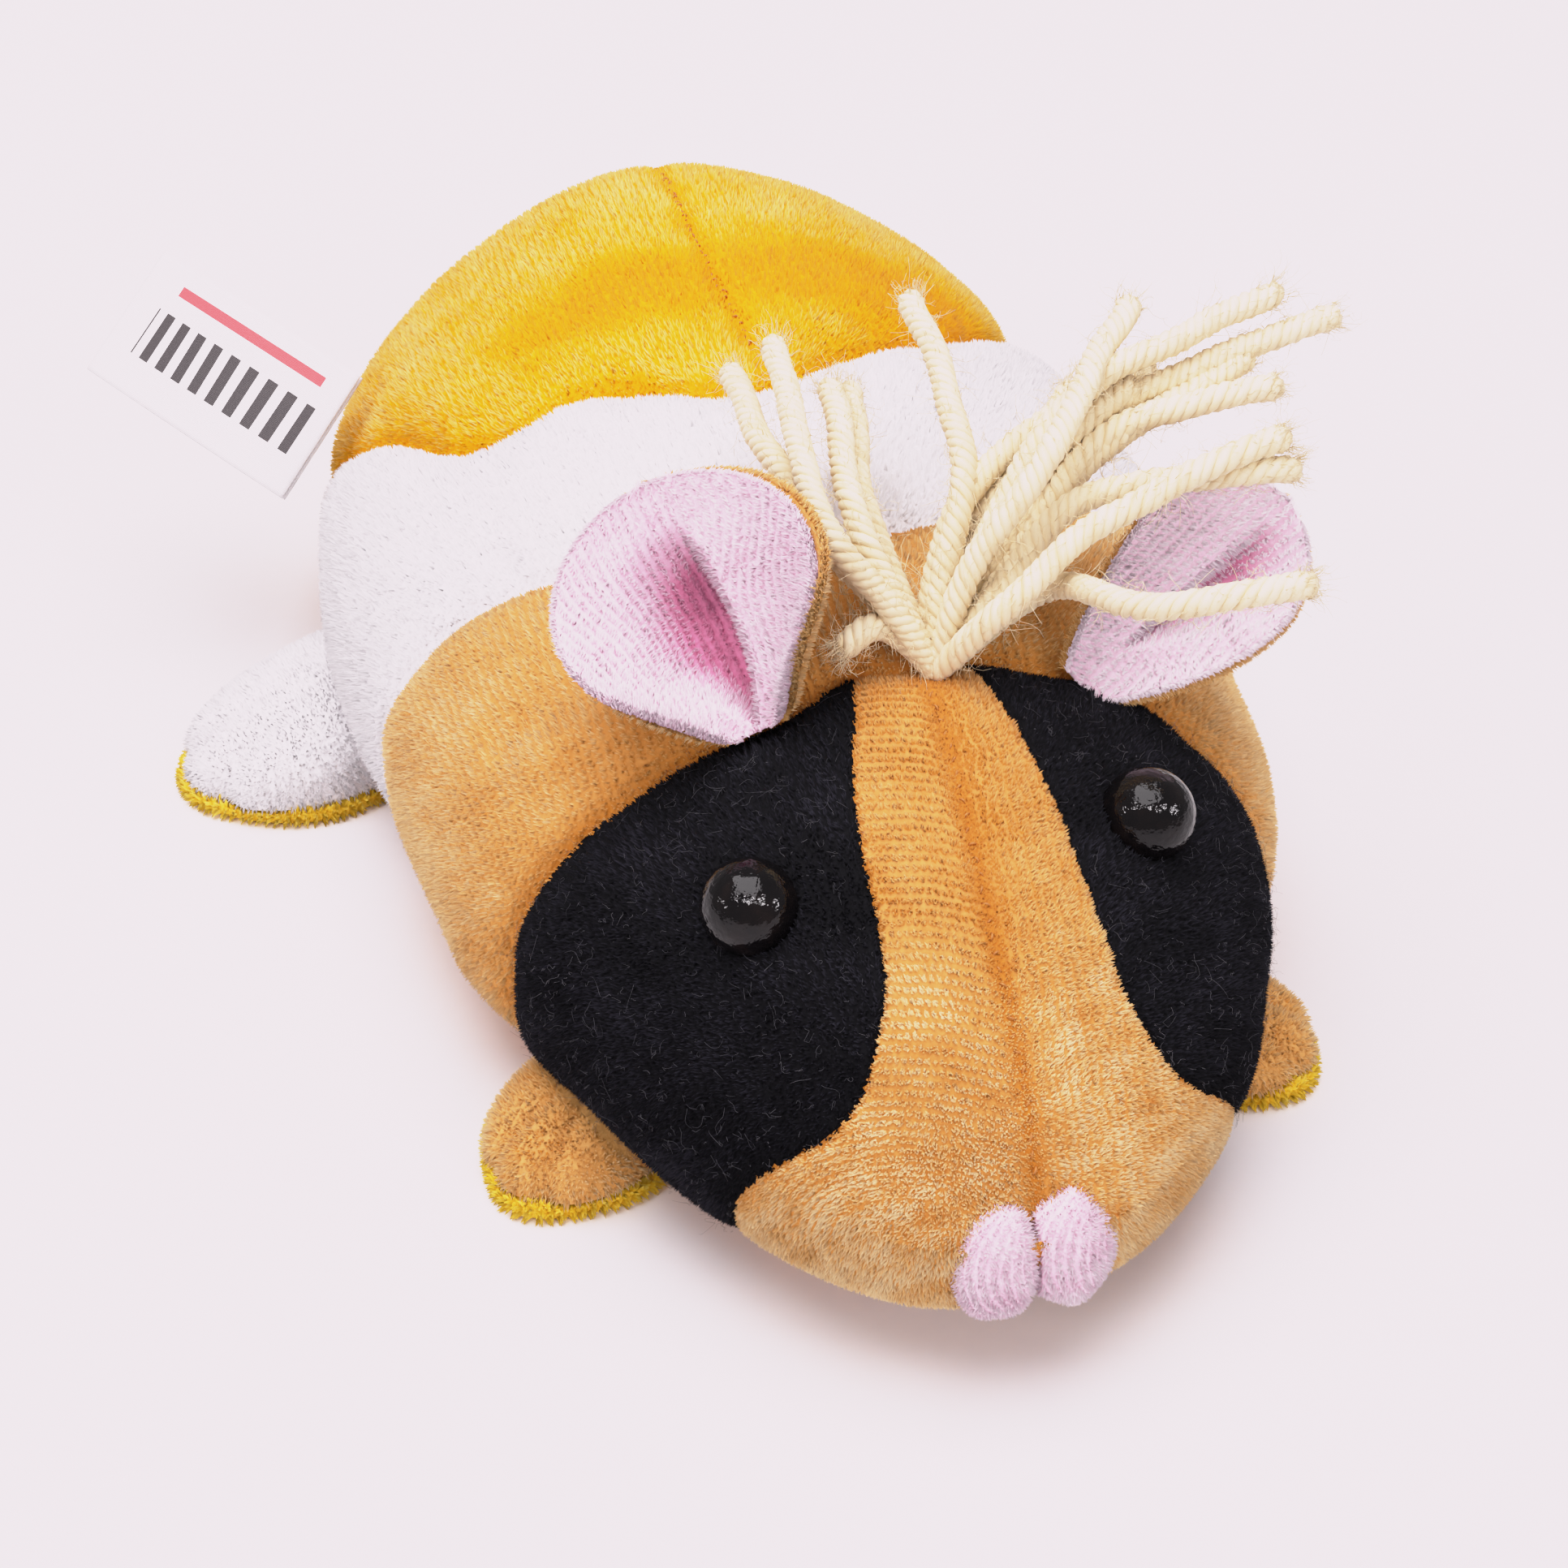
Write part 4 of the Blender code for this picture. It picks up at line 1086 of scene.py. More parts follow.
def bead_material():
    """Black moulded bead with a clear coat."""
    material, tree, shader = new_material("black_bead")
    smoke = ramp(tree, noise(tree, 1.6 * MM), (
        (0.002, 0.0018, 0.002), (0.004, 0.0035, 0.0037), (0.012, 0.008, 0.007)))
    dents = bump(tree, noise(tree, 0.75 * MM, 3.0), 1.0, 0.10 * MM)
    join(shader, {"Base Color": smoke, "Roughness": 0.35, "Specular IOR Level": 0.0,
                  "Coat Weight": 1.0, "Coat IOR": 1.33, "Coat Roughness": 0.0,
                  "Normal": dents, "Coat Normal": dents})
    return material


def eye_seat(word):
    """Centre of a bead and its outward direction."""
    share, angle = EYES[word]
    share, angle = np.array([share]), np.array([math.radians(angle)])
    spot = bag_point(share, angle)[0]
    step = 1e-4
    down = bag_point(share + step, angle)[0] - spot
    across = bag_point(share, angle + step)[0] - spot
    outward = unit(np.cross(across, down))
    outward *= np.sign(outward[2])
    return spot + outward * EYE_PROUD, outward


bead = bead_material()
eye_seats = {word: eye_seat(word) for word in EYES}
for word, (centre, outward) in eye_seats.items():
    eye = grid_piece("bead_eye_" + word, ball_grid(40, 64) * EYE_RADIUS + centre, bead,
                     flip=True)
    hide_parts("eye_" + word)
print({word: np.round(centre / MM, 1) for word, (centre, _) in eye_seats.items()})

# %% [markdown]
# ## Nose
# Two puffy lobes of pink velour are pinched together at the centre seam.  Each is a ball
# pressed flat against the other, with ribs that run up and down.

# %% Nose
NOSE_RADII = np.array((3.5, 2.9, 4.6)) * MM
NOSE_CENTRE = np.array((2.5, -63.9, 11.1)) * MM
NOSE_TILT = math.radians(17.0)
NOSE_PILE = 0.42 * MM
middle_x = float(centre_seam_x(np.array([-BODY_LENGTH / 2]))[0])
tilt = np.array(Matrix.Rotation(-NOSE_TILT, 3, "X"))


def whole_place(facts):
    """Unwrap of a whole grid."""
    rows, columns = facts["grid"].shape[0] - 1, facts["grid"].shape[1] - 1
    return lambda r, c: on_map(c / columns, r / rows)


for word, side in (("left", 1), ("right", -1)):
    lobe = ball_grid(48, 72) * (NOSE_RADII - NOSE_PILE)
    lobe = lobe * (1 + 0.03 * np.sin(lobe[..., :1] / MM * 2.1 + side))
    lobe = lobe @ tilt.T + NOSE_CENTRE * (0, 1, 1) + (middle_x + side * NOSE_CENTRE[0], 0, 0)
    pressed = side * (lobe[..., 0] - middle_x)
    lobe[..., 0] = middle_x + side * np.maximum(pressed, 0.22 * MM + 0.05 * pressed)
    skin = grid_piece("nose_cloth_" + word, lobe, velours["pink", "backing"],
                      0.45, flip=True)
    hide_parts("nose_" + word)
    facts = cloth_facts(lobe)
    outward = np.sign((facts["normals"] * (lobe - lobe.mean(axis=(0, 1)))).sum(-1).mean())
    facts["normals"] = facts["normals"] * outward
    pile_on_cloth("nose_" + word, facts, 1.0, "pink", 38.0, (0.10, 0.0), 200 + side,
                  whole_place(facts), length=NOSE_PILE * 0.95, width=0.20 * MM, tone=0.76,
                  ribbed=0.55)
print("nose lobes ready")

# %% [markdown]
# ## Ears
# Each ear is two rounds of velour, pink inside and tan outside, sewn edge to edge, folded at
# the root and caught in the face seam.  The leaf is bent round its own middle line, tight at
# the root and open at the tip.  A pleat makes a deep hollow that is sharp on one side.

# %% Shape of an ear
EAR_ROOT_HALF = 1.5 * MM
EARS = {
    # root, way it grows, way it opens, fold radius at the root and at the tip, length, width,
    # and how much narrower the lower half is
    "right": ((-11.4, -32.3, 32.2), (-0.27, 0.64, 0.72), (-0.33, -0.76, 0.56), 2.4, 27.0,
              18.4, 21.6, 1.0),
    "left": ((12.0, -32.4, 31.8), (0.81, 0.15, 0.57), (-0.06, -0.86, 0.52), 4.4, 20.0,
             19.2, 13.8, 0.92),
}
# Pleat: sharp edge, how far it reaches to the other side, start, end and depth.
PLEATS = {"right": (0.22, -0.60, -0.10, 0.80, 3.6), "left": (-0.10, 0.80, 0.1, 0.90, 2.2)}
PLEAT_EDGE = {"right": 0.09, "left": 0.26}
# Painted shade in the pleat's hollow: how much all over the pleat, and how much more beside its
# sharp edge.
EAR_HOLLOW_PAINTED_SHADE = {"right": (0.26, 0.56), "left": (0.50, 0.20)}
# Tone of the pink pile; the left ear's higher value is painted light, as that ear faces away from
# the light overhead.
EAR_TONE_AND_PAINTED_LIGHT = {"right": 0.74, "left": 1.15}
# How far the tan layer is shifted to one side.
BACK_SHIFT = {"right": 0.08, "left": 0.05}
EAR_ROWS, EAR_COLUMNS = 64, 72
# How far a layer's open side and its sewn side lie from the middle of the ear.
LEAF_OUT, LEAF_IN = 0.60 * MM, 0.06 * MM


def pleat_of(word, t, s):
    """How far in the pleat each point of an ear is, from 0 to 1."""
    edge, far, start, end, _ = PLEATS[word]
    along_pleat = ease_between(t, start, start + 0.22) * (1 - ease_between(t, end - 0.42, end))
    spread = edge + (far - edge) * np.clip((t - start) / 0.35, 0.15, 1.0)
    reach_in = (s - spread) / (edge - spread)
    sharp = ease_between((edge - s) * np.sign(edge - far), 0.0, PLEAT_EDGE[word])
    return along_pleat * sharp * ease_between(reach_in, 0.0, 0.80)


def ear_surface(word, offset, t, s):
    """Points of an ear leaf at a share of its length and across it, off its middle."""
    root, grows, opens, fold_root, fold_tip, length, width, narrow = EARS[word]
    length, radius = length * MM, width * MM / 2
    root, grows = np.array(root) * MM, unit(np.array(grows))
    opens = np.array(opens)
    opens = unit(opens - grows * (opens @ grows))
    across = np.cross(grows, opens)
    centre = length - radius
    reach = length * (0.7 * t + 0.3 * np.sin(np.pi * t / 2))
    low = EAR_ROOT_HALF + (radius - EAR_ROOT_HALF) * np.sin(
        np.pi * np.clip(reach / centre, 0, 1) / 2) ** 0.8
    high = np.sqrt(np.maximum(radius ** 2 - (reach - centre) ** 2, (0.9 * MM) ** 2))
    half = np.where(reach < centre, low, high) * np.where(s > 0, narrow, 1.0)
    fold = (fold_root + (fold_tip - fold_root) * t ** 1.2) * MM
    pushed = offset - PLEATS[word][4] * MM * pleat_of(word, t, s)
    bend = s * half / fold
    sideways = (fold - pushed) * np.sin(bend)
    forward = fold - (fold - pushed) * np.cos(bend)
    return (root + grows * reach[..., None] + across * sideways[..., None]
            + opens * forward[..., None])


def leaf_piece(name, front, back, material, tone):
    """A closed leaf between two grids of the same size."""
    rows, columns = front.shape[:2]
    count = rows * columns
    index = np.arange(count).reshape(rows, columns)
    ring = np.concatenate([index[0, :-1], index[:-1, -1], index[-1, :0:-1], index[:0:-1, 0]])
    after = np.roll(ring, -1)
    flat = all_faces(rows, columns)
    walls = np.stack([after, ring, ring + count, after + count], axis=-1)
    faces = np.concatenate([flat, (flat + count)[:, ::-1], walls])
    top = map_of_grid(rows, columns, 0.48)
    points = np.concatenate([front.reshape(-1, 3), back.reshape(-1, 3)])
    tones = np.tile(np.broadcast_to(tone, (rows, columns)).ravel(), 2)
    piece = piece_from_arrays(name, points, faces, material,
                              np.concatenate([top, top + (0.5, 0.0)]), tones)
    weld_piece(piece)
    return piece


def rim_tufts(name, front, normals, side, cloth, per_mm, length, width, seed, tone):
    """Pile that stands out from the edge of a leaf."""
    rng = np.random.default_rng(seed)
    edge = np.concatenate([front[:, 0], front[-1, 1:], front[-2::-1, -1]])
    inner = np.concatenate([front[:, 3], front[-4, 1:], front[-2::-1, -4]])
    faced = np.concatenate([normals[:, 0], normals[-1, 1:], normals[-2::-1, -1]])
    mark = tape_along(edge)
    spots = rng.uniform(0, mark[-1], int(mark[-1] / MM * per_mm))
    roots, within, faced = [read_line(part, mark, spots) for part in (edge, inner, faced)]
    outward, faced = unit(roots - within), unit(faced)
    roots = roots - faced * (rng.random(len(roots)) * 0.50 * MM)[:, None]
    # The rim is shaded as cloth that turns from the open side of the ear round its edge.
    shaded = unit(outward * 0.35 + faced * side * 0.9)
    leans = outward * rng.uniform(0.3, 1.2, len(roots))[:, None]
    leans = leans - shaded * 0.2 + faced * (0.0 if side > 0 else 0.5)
    leans = leans + rng.normal(size=roots.shape) * 0.22
    count = len(roots)
    uv = np.stack([0.02 + 0.46 * rng.random(count), 0.02 + 0.96 * spots / mark[-1]], axis=-1)
    return grow_tufts(name, roots, shaded, leans, length * rng.uniform(0.8, 1.15, count),
                      width * rng.uniform(0.8, 1.2, count),
                      tone + rng.normal(size=count) * 0.1, uv, cloth, seed)


ear_t, ear_s = np.meshgrid(np.linspace(0, 1, EAR_ROWS + 1), np.linspace(-1, 1, EAR_COLUMNS + 1),
                           indexing="ij")
print("ear grid", ear_t.shape)

# %% [markdown]
# ## Sewing the ears
# Each layer is a closed leaf, with pile on its open side and round its rim, so that the edge
# shows two rows of pile with the seam between them.

# %% Ears
for n, word in enumerate(EARS):
    for layer, side, cloth, node in (("lining", 1, "pink", "ear_lining_"),
                                     ("back", -1, "tan", "ear_back_")):
        across_leaf = ear_s if side > 0 else 0.96 * ear_s + BACK_SHIFT[word]
        front = ear_surface(word, side * LEAF_OUT, ear_t, across_leaf)
        under = ear_surface(word, side * LEAF_IN, ear_t, across_leaf)
        pleat = pleat_of(word, 0.86 * ear_t, ear_s) * (side > 0)
        # Painted shade in the hollow of the pleat, on the pink lining only.
        hollow = -EAR_HOLLOW_PAINTED_SHADE[word][0] * pleat - EAR_HOLLOW_PAINTED_SHADE[word][1] * pleat ** 3
        upper, lower = (front, under) if side > 0 else (under, front)
        leaf = leaf_piece("ear_%s_cloth_%s" % (layer, word), upper, lower,
                          velours[cloth, "backing"],
                          0.5 + hollow if side > 0 else 0.3)
        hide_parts(node + word)
        facts = cloth_facts(front)
        away = front - under
        sign = np.sign((facts["normals"] * away).sum(-1))
        facts["normals"] = facts["normals"] * np.where(sign == 0, 1, sign)[..., None]
        pile_on_cloth("ear_%s_%s" % (layer, word), facts, 1.0, cloth, 27.0, (0.35, 0.0),
                      300 + 10 * n + side, whole_place(facts), length=0.62 * MM,
                      width=0.22 * MM, tone=EAR_TONE_AND_PAINTED_LIGHT[word] if side > 0 else 0.45, shade=hollow,
                      ribbed=0.8)
        rim_tufts("ear_%s_rim_%s" % (layer, word), front, facts["normals"], side, cloth, 60.0,
                  0.65 * MM, 0.22 * MM, 320 + 10 * n + side,
                  EAR_TONE_AND_PAINTED_LIGHT[word] if side > 0 else 0.55)
print("ears ready")

# %% [markdown]
# ## Feet
# Each foot is a small stuffed pouch: an upper of the body's cloth over a flat yellow sole.
# The upper is a dome over an egg-shaped plan, with faint clefts between the toes.  It ends
# just inside the bag, as the real one is sewn into the seam.

# %% Feet
SOLE_THICKNESS = 1.3 * MM
SOLE_GAP = 0.3 * MM
# Share of the plan and share of the thickness, from the middle of the underside to the top.
SOLE_PROFILE = np.array(((0.0, 0.0), (0.5, 0.0), (0.93, 0.0), (0.985, 0.10), (1.0, 0.35),
                         (1.0, 0.75), (0.97, 1.0), (0.85, 1.0), (0.0, 1.0)))
TOE_CLEFTS = (0.34, -0.34)
FEET = {
    # centre, half length, half width, height, heading in degrees
    "forefoot_right": ((-23.7, -34.9), 10.8, 7.0, 6.4, 218.0),
    "forefoot_left": ((20.6, -37.2), 11.2, 7.2, 5.9, -38.0),
    "hindfoot_right": ((-34.4, 16.9), 15.2, 9.6, 7.0, 200.0),
    "hindfoot_left": ((34.6, 18.0), 14.4, 9.6, 7.0, -20.0),
}


def depth_in_bag(points):
    """Less than 1 inside the bag, 1 on it, and more outside."""
    share = share_at(points[..., 1])
    half_width, widest, crown, _ = section(share)
    crown = np.maximum(crown, widest + 0.1 * MM)
    x, z = points[..., 0] - station(4, share) * MM, points[..., 2] - widest
    power = np.where(z > 0, station(5, share), FLANK_POWER)
    tall = np.where(z > 0, crown - widest, widest + FLOOR_SINK)
    full = np.abs(x / np.maximum(half_width, MM)) ** power + np.abs(z / tall) ** power
    return full ** (1 / power)


def tuck_into_bag(piece, reach=0.93):
    """Drop the faces of a foot that lie well inside the bag, where it is sewn in."""
    mesh = piece.data
    centres = np.empty(len(mesh.polygons) * 3)
    mesh.polygons.foreach_get("center", centres)
    hidden = np.nonzero(depth_in_bag(centres.reshape(-1, 3)) < reach)[0]
    tidy = bmesh.new()
    tidy.from_mesh(mesh)
    tidy.faces.ensure_lookup_table()
    bmesh.ops.delete(tidy, geom=[tidy.faces[i] for i in hidden], context="FACES")
    tidy.to_mesh(mesh)
    tidy.free()


def foot_plan(foot, angle, inset, scale):
    """Egg-shaped plan of a foot, inset from its edge and shrunk towards its centre."""
    (x, y), half_length, half_width, _, heading = FEET[foot]
    turn = math.radians(heading)
    along = (half_length * MM - inset) * np.cos(angle)
    across = (half_width * MM - inset) * np.sin(angle) * (1 + 0.16 * np.cos(angle))
    return (x * MM + (along * math.cos(turn) - across * math.sin(turn)) * scale,
            y * MM + (along * math.sin(turn) + across * math.cos(turn)) * scale)


def foot_upper(foot, rows=30, columns=120):
    """Grid of the stuffed upper, from its edge to its top, higher towards the body."""
    (cx, cy), half_length, _, height, heading = FEET[foot]
    turn, start = math.radians(heading), SOLE_THICKNESS + SOLE_GAP
    rise = np.linspace(0, np.pi / 2, rows + 1)[:, None]
    angle = np.linspace(0, 2 * np.pi, columns + 1)[None, :]
    cleft = sum(np.exp(-((angle - c + np.pi) % (2 * np.pi) - np.pi) ** 2 / 0.016)
                for c in TOE_CLEFTS)
    scale = np.cos(rise) ** 0.8 * (1 - 0.05 * cleft * np.cos(rise))
    x, y = foot_plan(foot, angle, 0.65 * MM, scale)
    home = ((x - cx * MM) * math.cos(turn) + (y - cy * MM) * math.sin(turn)) / (half_length * MM)
    slope = 1 + (0.6 if foot.startswith("hind") else 0.1) * np.clip(0.75 - home, 0.0, 1.0) ** 1.5
    lift = ((height - 0.55) * MM - start) * np.sin(rise) ** 0.9 * slope
    return np.stack([x, y, start + lift - 0.35 * MM * cleft * np.sin(2 * rise)], axis=-1)


def foot_sole(foot, columns=120):
    """Grid of the sole, from the middle of its underside round the edge to its top."""
    angle = np.linspace(0, 2 * np.pi, columns + 1)[None, :]
    scales, heights = SOLE_PROFILE.T[..., None]
    wavy = 0.55 * MM + 0.30 * MM * np.sin(angle * 5 + FEET[foot][4])
    x, y = foot_plan(foot, angle, wavy, scales)
    thickness = SOLE_THICKNESS + 0.15 * MM * np.sin(angle * 9)
    return np.stack([x, y, heights * thickness * 0.98], axis=-1)


def outward_facts(grid, middle_point):
    """Facts of a closed form, with the directions pointing away from its middle."""
    facts = cloth_facts(grid)
    towards = (facts["normals"] * (grid - middle_point)).sum(-1)
    facts["normals"] = facts["normals"] * np.sign(towards + 1e-12)[..., None]
    return facts


for n, foot in enumerate(FEET):
    cloth = "white" if foot.startswith("hind") else "tan"
    centre = np.array((FEET[foot][0][0], FEET[foot][0][1], 1.5)) * MM
    upper = foot_upper(foot)
    skin = grid_piece(foot + "_cloth", upper, velours[cloth, "backing"], 0.4)
    tuck_into_bag(skin)
    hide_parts(foot)
    facts = outward_facts(upper, centre)
    # Painted shade in a band halfway up the upper, paler towards its edge and its top.
    upper_painted_shade = -0.25 * np.exp(-((np.linspace(0, 1, upper.shape[0]) - 0.55) / 0.30) ** 2)
    upper_painted_shade = np.broadcast_to(upper_painted_shade[:, None], upper.shape[:2])
    pile_on_cloth(foot, facts, 1.0, cloth, 18.0, (-0.2, 0.0), 400 + n, whole_place(facts),
                  length=0.62 * MM, width=0.24 * MM, tone=0.68, shade=upper_painted_shade, ribbed=0.5,
                  keep=lambda roots: depth_in_bag(roots) > 1.0)
    sole = foot_sole(foot)
    pad = grid_piece(foot + "_sole_cloth", sole, velours["lemon", "backing"],
                     0.6)
    tuck_into_bag(pad)
    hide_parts(foot + "_sole")
    facts = outward_facts(sole, centre * (1, 1, 0.4))
    rim = np.zeros((sole.shape[0] - 1, sole.shape[1] - 1))
    rim[2:7] = 1.0
    pile_on_cloth(foot + "_sole", facts, rim, "lemon", 26.0, (0.15, 0.0), 420 + n,
                  whole_place(facts), length=0.80 * MM, width=0.45 * MM, tone=0.70,
                  keep=lambda roots: (depth_in_bag(roots) > 1.0) & (roots[:, 2] > 0.25 * MM))
print("feet ready")

# %% [markdown]
# ## Side label
# A woven ribbon, folded double, is caught in the side seam.  It is one long strip that goes
# out, turns over at the fold and comes back, with a slight wave.  It carries plain woven bars
# and a line, and no words.

# %% Label
LABEL_WIDTH, LABEL_LENGTH = 12.4 * MM, 23.5 * MM
LABEL_ROOT = np.array((-32.6, 30.0, 22.6)) * MM
LABEL_ALONG = unit(np.array((-0.60, 0.77, 0.20)))
LABEL_ACROSS = np.array((-0.64, -0.35, -0.68))
LABEL_ACROSS = unit(LABEL_ACROSS - LABEL_ALONG * (LABEL_ACROSS @ LABEL_ALONG))
LABEL_FACE = np.cross(LABEL_ALONG, LABEL_ACROSS)
RIBBON_THICKNESS, RIBBON_SPACE = 0.22 * MM, 0.5 * MM
RIBBON_WHITES = ((0.80, 0.77, 0.78), (0.87, 0.845, 0.855), (0.90, 0.88, 0.89))
CHARCOAL, RED = (0.055, 0.045, 0.048), (0.72, 0.10, 0.12)


def ribbon_material():
    """White woven ribbon with a fine weave, charcoal bars and a thin red line."""
    material, tree, shader = new_material("label_weave")
    uv = add_node(tree, "UVMap", uv_map="OFBake").outputs["UV"]
    parts = add_node(tree, "SeparateXYZ", {"Vector": uv}).outputs
    across, along = parts["X"], parts["Y"]

    def band(value, low, high):
        return maths(tree, "MULTIPLY", maths(tree, "GREATER_THAN", value, low),
                     maths(tree, "LESS_THAN", value, high))

    repeat = maths(tree, "FRACT", maths(tree, "MULTIPLY", along, 24.0))
    bars = maths(tree, "MULTIPLY", band(repeat, 0.0, 0.52), band(across, 0.68, 0.86))
    bars = maths(tree, "MULTIPLY", bars, band(along, 0.045, 0.42))
    line = maths(tree, "MULTIPLY", band(across, 0.575, 0.612), band(along, 0.06, 0.40))
    weave = add_node(tree, "TexWave", {"Vector": uv, "Scale": 60.0, "Distortion": 0.6})
    weave = weave.outputs["Fac"]
    colour = ramp(tree, weave, RIBBON_WHITES)
    for mask, ink in ((bars, CHARCOAL), (line, RED)):
        inputs = {"Factor": mask, "A": colour, "B": (*ink, 1.0)}
        colour = add_node(tree, "Mix", inputs, data_type="RGBA").outputs["Result"]
    join(shader, {"Base Color": colour, "Roughness": 0.6, "Sheen Weight": 0.15,
                  "Normal": bump(tree, weave, 0.4, 0.06 * MM)})
    return material


def ribbon_grid(steps=110, columns=28, turn_share=0.03):
    """Middle surface of the folded ribbon: out, round the fold and home again."""
    run = np.linspace(0, 1, steps + 1)[:, None]
    across = np.linspace(-1, 1, columns + 1)[None, :]
    leg = 0.5 - turn_share / 2
    out = np.clip(run / leg, 0, 1)
    home = np.clip((run - 0.5 - turn_share / 2) / leg, 0, 1)
    turning = np.clip((run - leg) / turn_share, 0, 1)
    radius = RIBBON_SPACE / 2
    reach = (LABEL_LENGTH - radius) * (out - home) + radius * np.sin(np.pi * turning)
    t = reach / LABEL_LENGTH
    belly = np.sin(np.pi * np.clip(t, 0, 1))
    off = 1.2 * MM * belly + 0.25 * MM * np.sin(9 * t) * across
    off = off + (radius + 0.35 * MM * belly) * np.cos(np.pi * turning)
    return (LABEL_ROOT + LABEL_ALONG * reach[..., None]
            + LABEL_ACROSS * (across * LABEL_WIDTH / 2)[..., None]
            + LABEL_FACE * off[..., None])


middle_surface = ribbon_grid()
half_thick = grid_normals(middle_surface) * RIBBON_THICKNESS / 2
ribbon = leaf_piece("side_label_ribbon", middle_surface + half_thick, middle_surface - half_thick,
                    ribbon_material(), 0.5)
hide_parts("side_label")
print("label ribbon %.1f x %.1f mm when flat" % (LABEL_WIDTH / MM, 2 * LABEL_LENGTH / MM))

# %% [markdown]
# ## Yarn
# The tuft on the head is woollen yarn, cut to short lengths and caught in the face seam.  Each
# strand is four plies twisted round each other, so the twist shows as slanting beads.  Fine
# fibres stand off it all along, and the cut ends are frayed.  All tubes come from one helper
# that carries a frame along many paths at once.

# %% Tubes along many paths
PLY_RADIUS, PLY_OFFSET, PLIES, TWIST_PITCH = 0.44 * MM, 0.56 * MM, 4, 3.3 * MM
# Painted light and shade on twisted plies, and the tone of their cut ends.
PLY_PAINTED_SHADING, CUT_TONE = 0.34, 0.1


def frames_along(paths, hint):
    """Two sideways directions, carried along many paths without twisting."""
    heading = unit(np.gradient(paths, axis=1))
    frames = [unit(np.cross(heading[:, 0], hint))]
    for k in range(1, paths.shape[1]):
        carried = frames[-1] - heading[:, k] * (frames[-1] * heading[:, k]).sum(-1)[:, None]
        frames.append(unit(carried))
    side = np.stack(frames, axis=1)
    return side, np.cross(heading, side)


def tubes(paths, radii, sides):
    """Points and faces of closed tubes.  paths is tubes x steps x 3, radii tubes x steps."""
    count, steps = paths.shape[:2]
    side, other = frames_along(paths, (0.31, 0.52, 0.79))
    turn = 2 * np.pi * np.arange(sides) / sides
    ring = (side[:, :, None] * np.cos(turn)[:, None] + other[:, :, None] * np.sin(turn)[:, None])
    points = paths[:, :, None] + ring * radii[:, :, None, None]
    base = (np.arange(count) * steps * sides)[:, None, None]
    k = np.arange(steps - 1)[None, :, None] * sides
    j = np.arange(sides)[None, None, :]
    after = (j + 1) % sides
    a, b = base + k + j, base + k + after
    walls = np.stack([a, b, b + sides, a + sides], axis=-1).reshape(-1, 4)
    triangles = np.concatenate([walls[:, (0, 1, 2)], walls[:, (0, 2, 3)]])
    caps = []
    for j in range(1, sides - 1):
        low = base[:, 0, 0]
        high = low + (steps - 1) * sides
        caps.append(np.stack([low, low + j + 1, low + j], axis=-1))
        caps.append(np.stack([high, high + j, high + j + 1], axis=-1))
    return points, np.concatenate([triangles] + caps)


def tube_piece(name, paths, radii, sides, material, tones, middles=None):
    """One piece of many tubes; each tube has its own strip of the unwrap.  Tubes that are
    twisted round middle lines get painted shade on the side that is turned in and painted
    light on the side that is turned out."""
    points, faces = tubes(paths, radii, sides)
    count, steps = paths.shape[:2]
    u = (np.arange(count)[:, None, None] + 0.1 + 0.8 * np.arange(sides)[None, None, :] / sides)
    u = np.broadcast_to(u / count, (count, steps, sides))
    v = np.broadcast_to(np.linspace(0.01, 0.99, steps)[None, :, None], u.shape)
    uv = np.stack([u.ravel(), v.ravel()], axis=-1)
    tone = np.broadcast_to(np.asarray(tones)[..., None], u.shape).copy()
    if middles is not None:
        # Painted shade on the side of each ply turned in, painted light on the side turned out.
        out = np.linalg.norm(points - middles[:, :, None], axis=-1) / (PLY_OFFSET + PLY_RADIUS)
        painted_ply_shading = PLY_PAINTED_SHADING * (np.clip(out, 0.4, 1.0) - 0.8) / 0.2
        painted_ply_shading[:, -2:] = CUT_TONE
        tone += painted_ply_shading
    return piece_from_arrays(name, points.reshape(-1, 3), faces, material, uv,
                             tone.ravel())


print("tube helper ready")

# %% [markdown]
# ## Strands
# The middle line of each strand is a bent line from the knot.  The plies wind round it, and
# spread and thin out over the last millimetres.

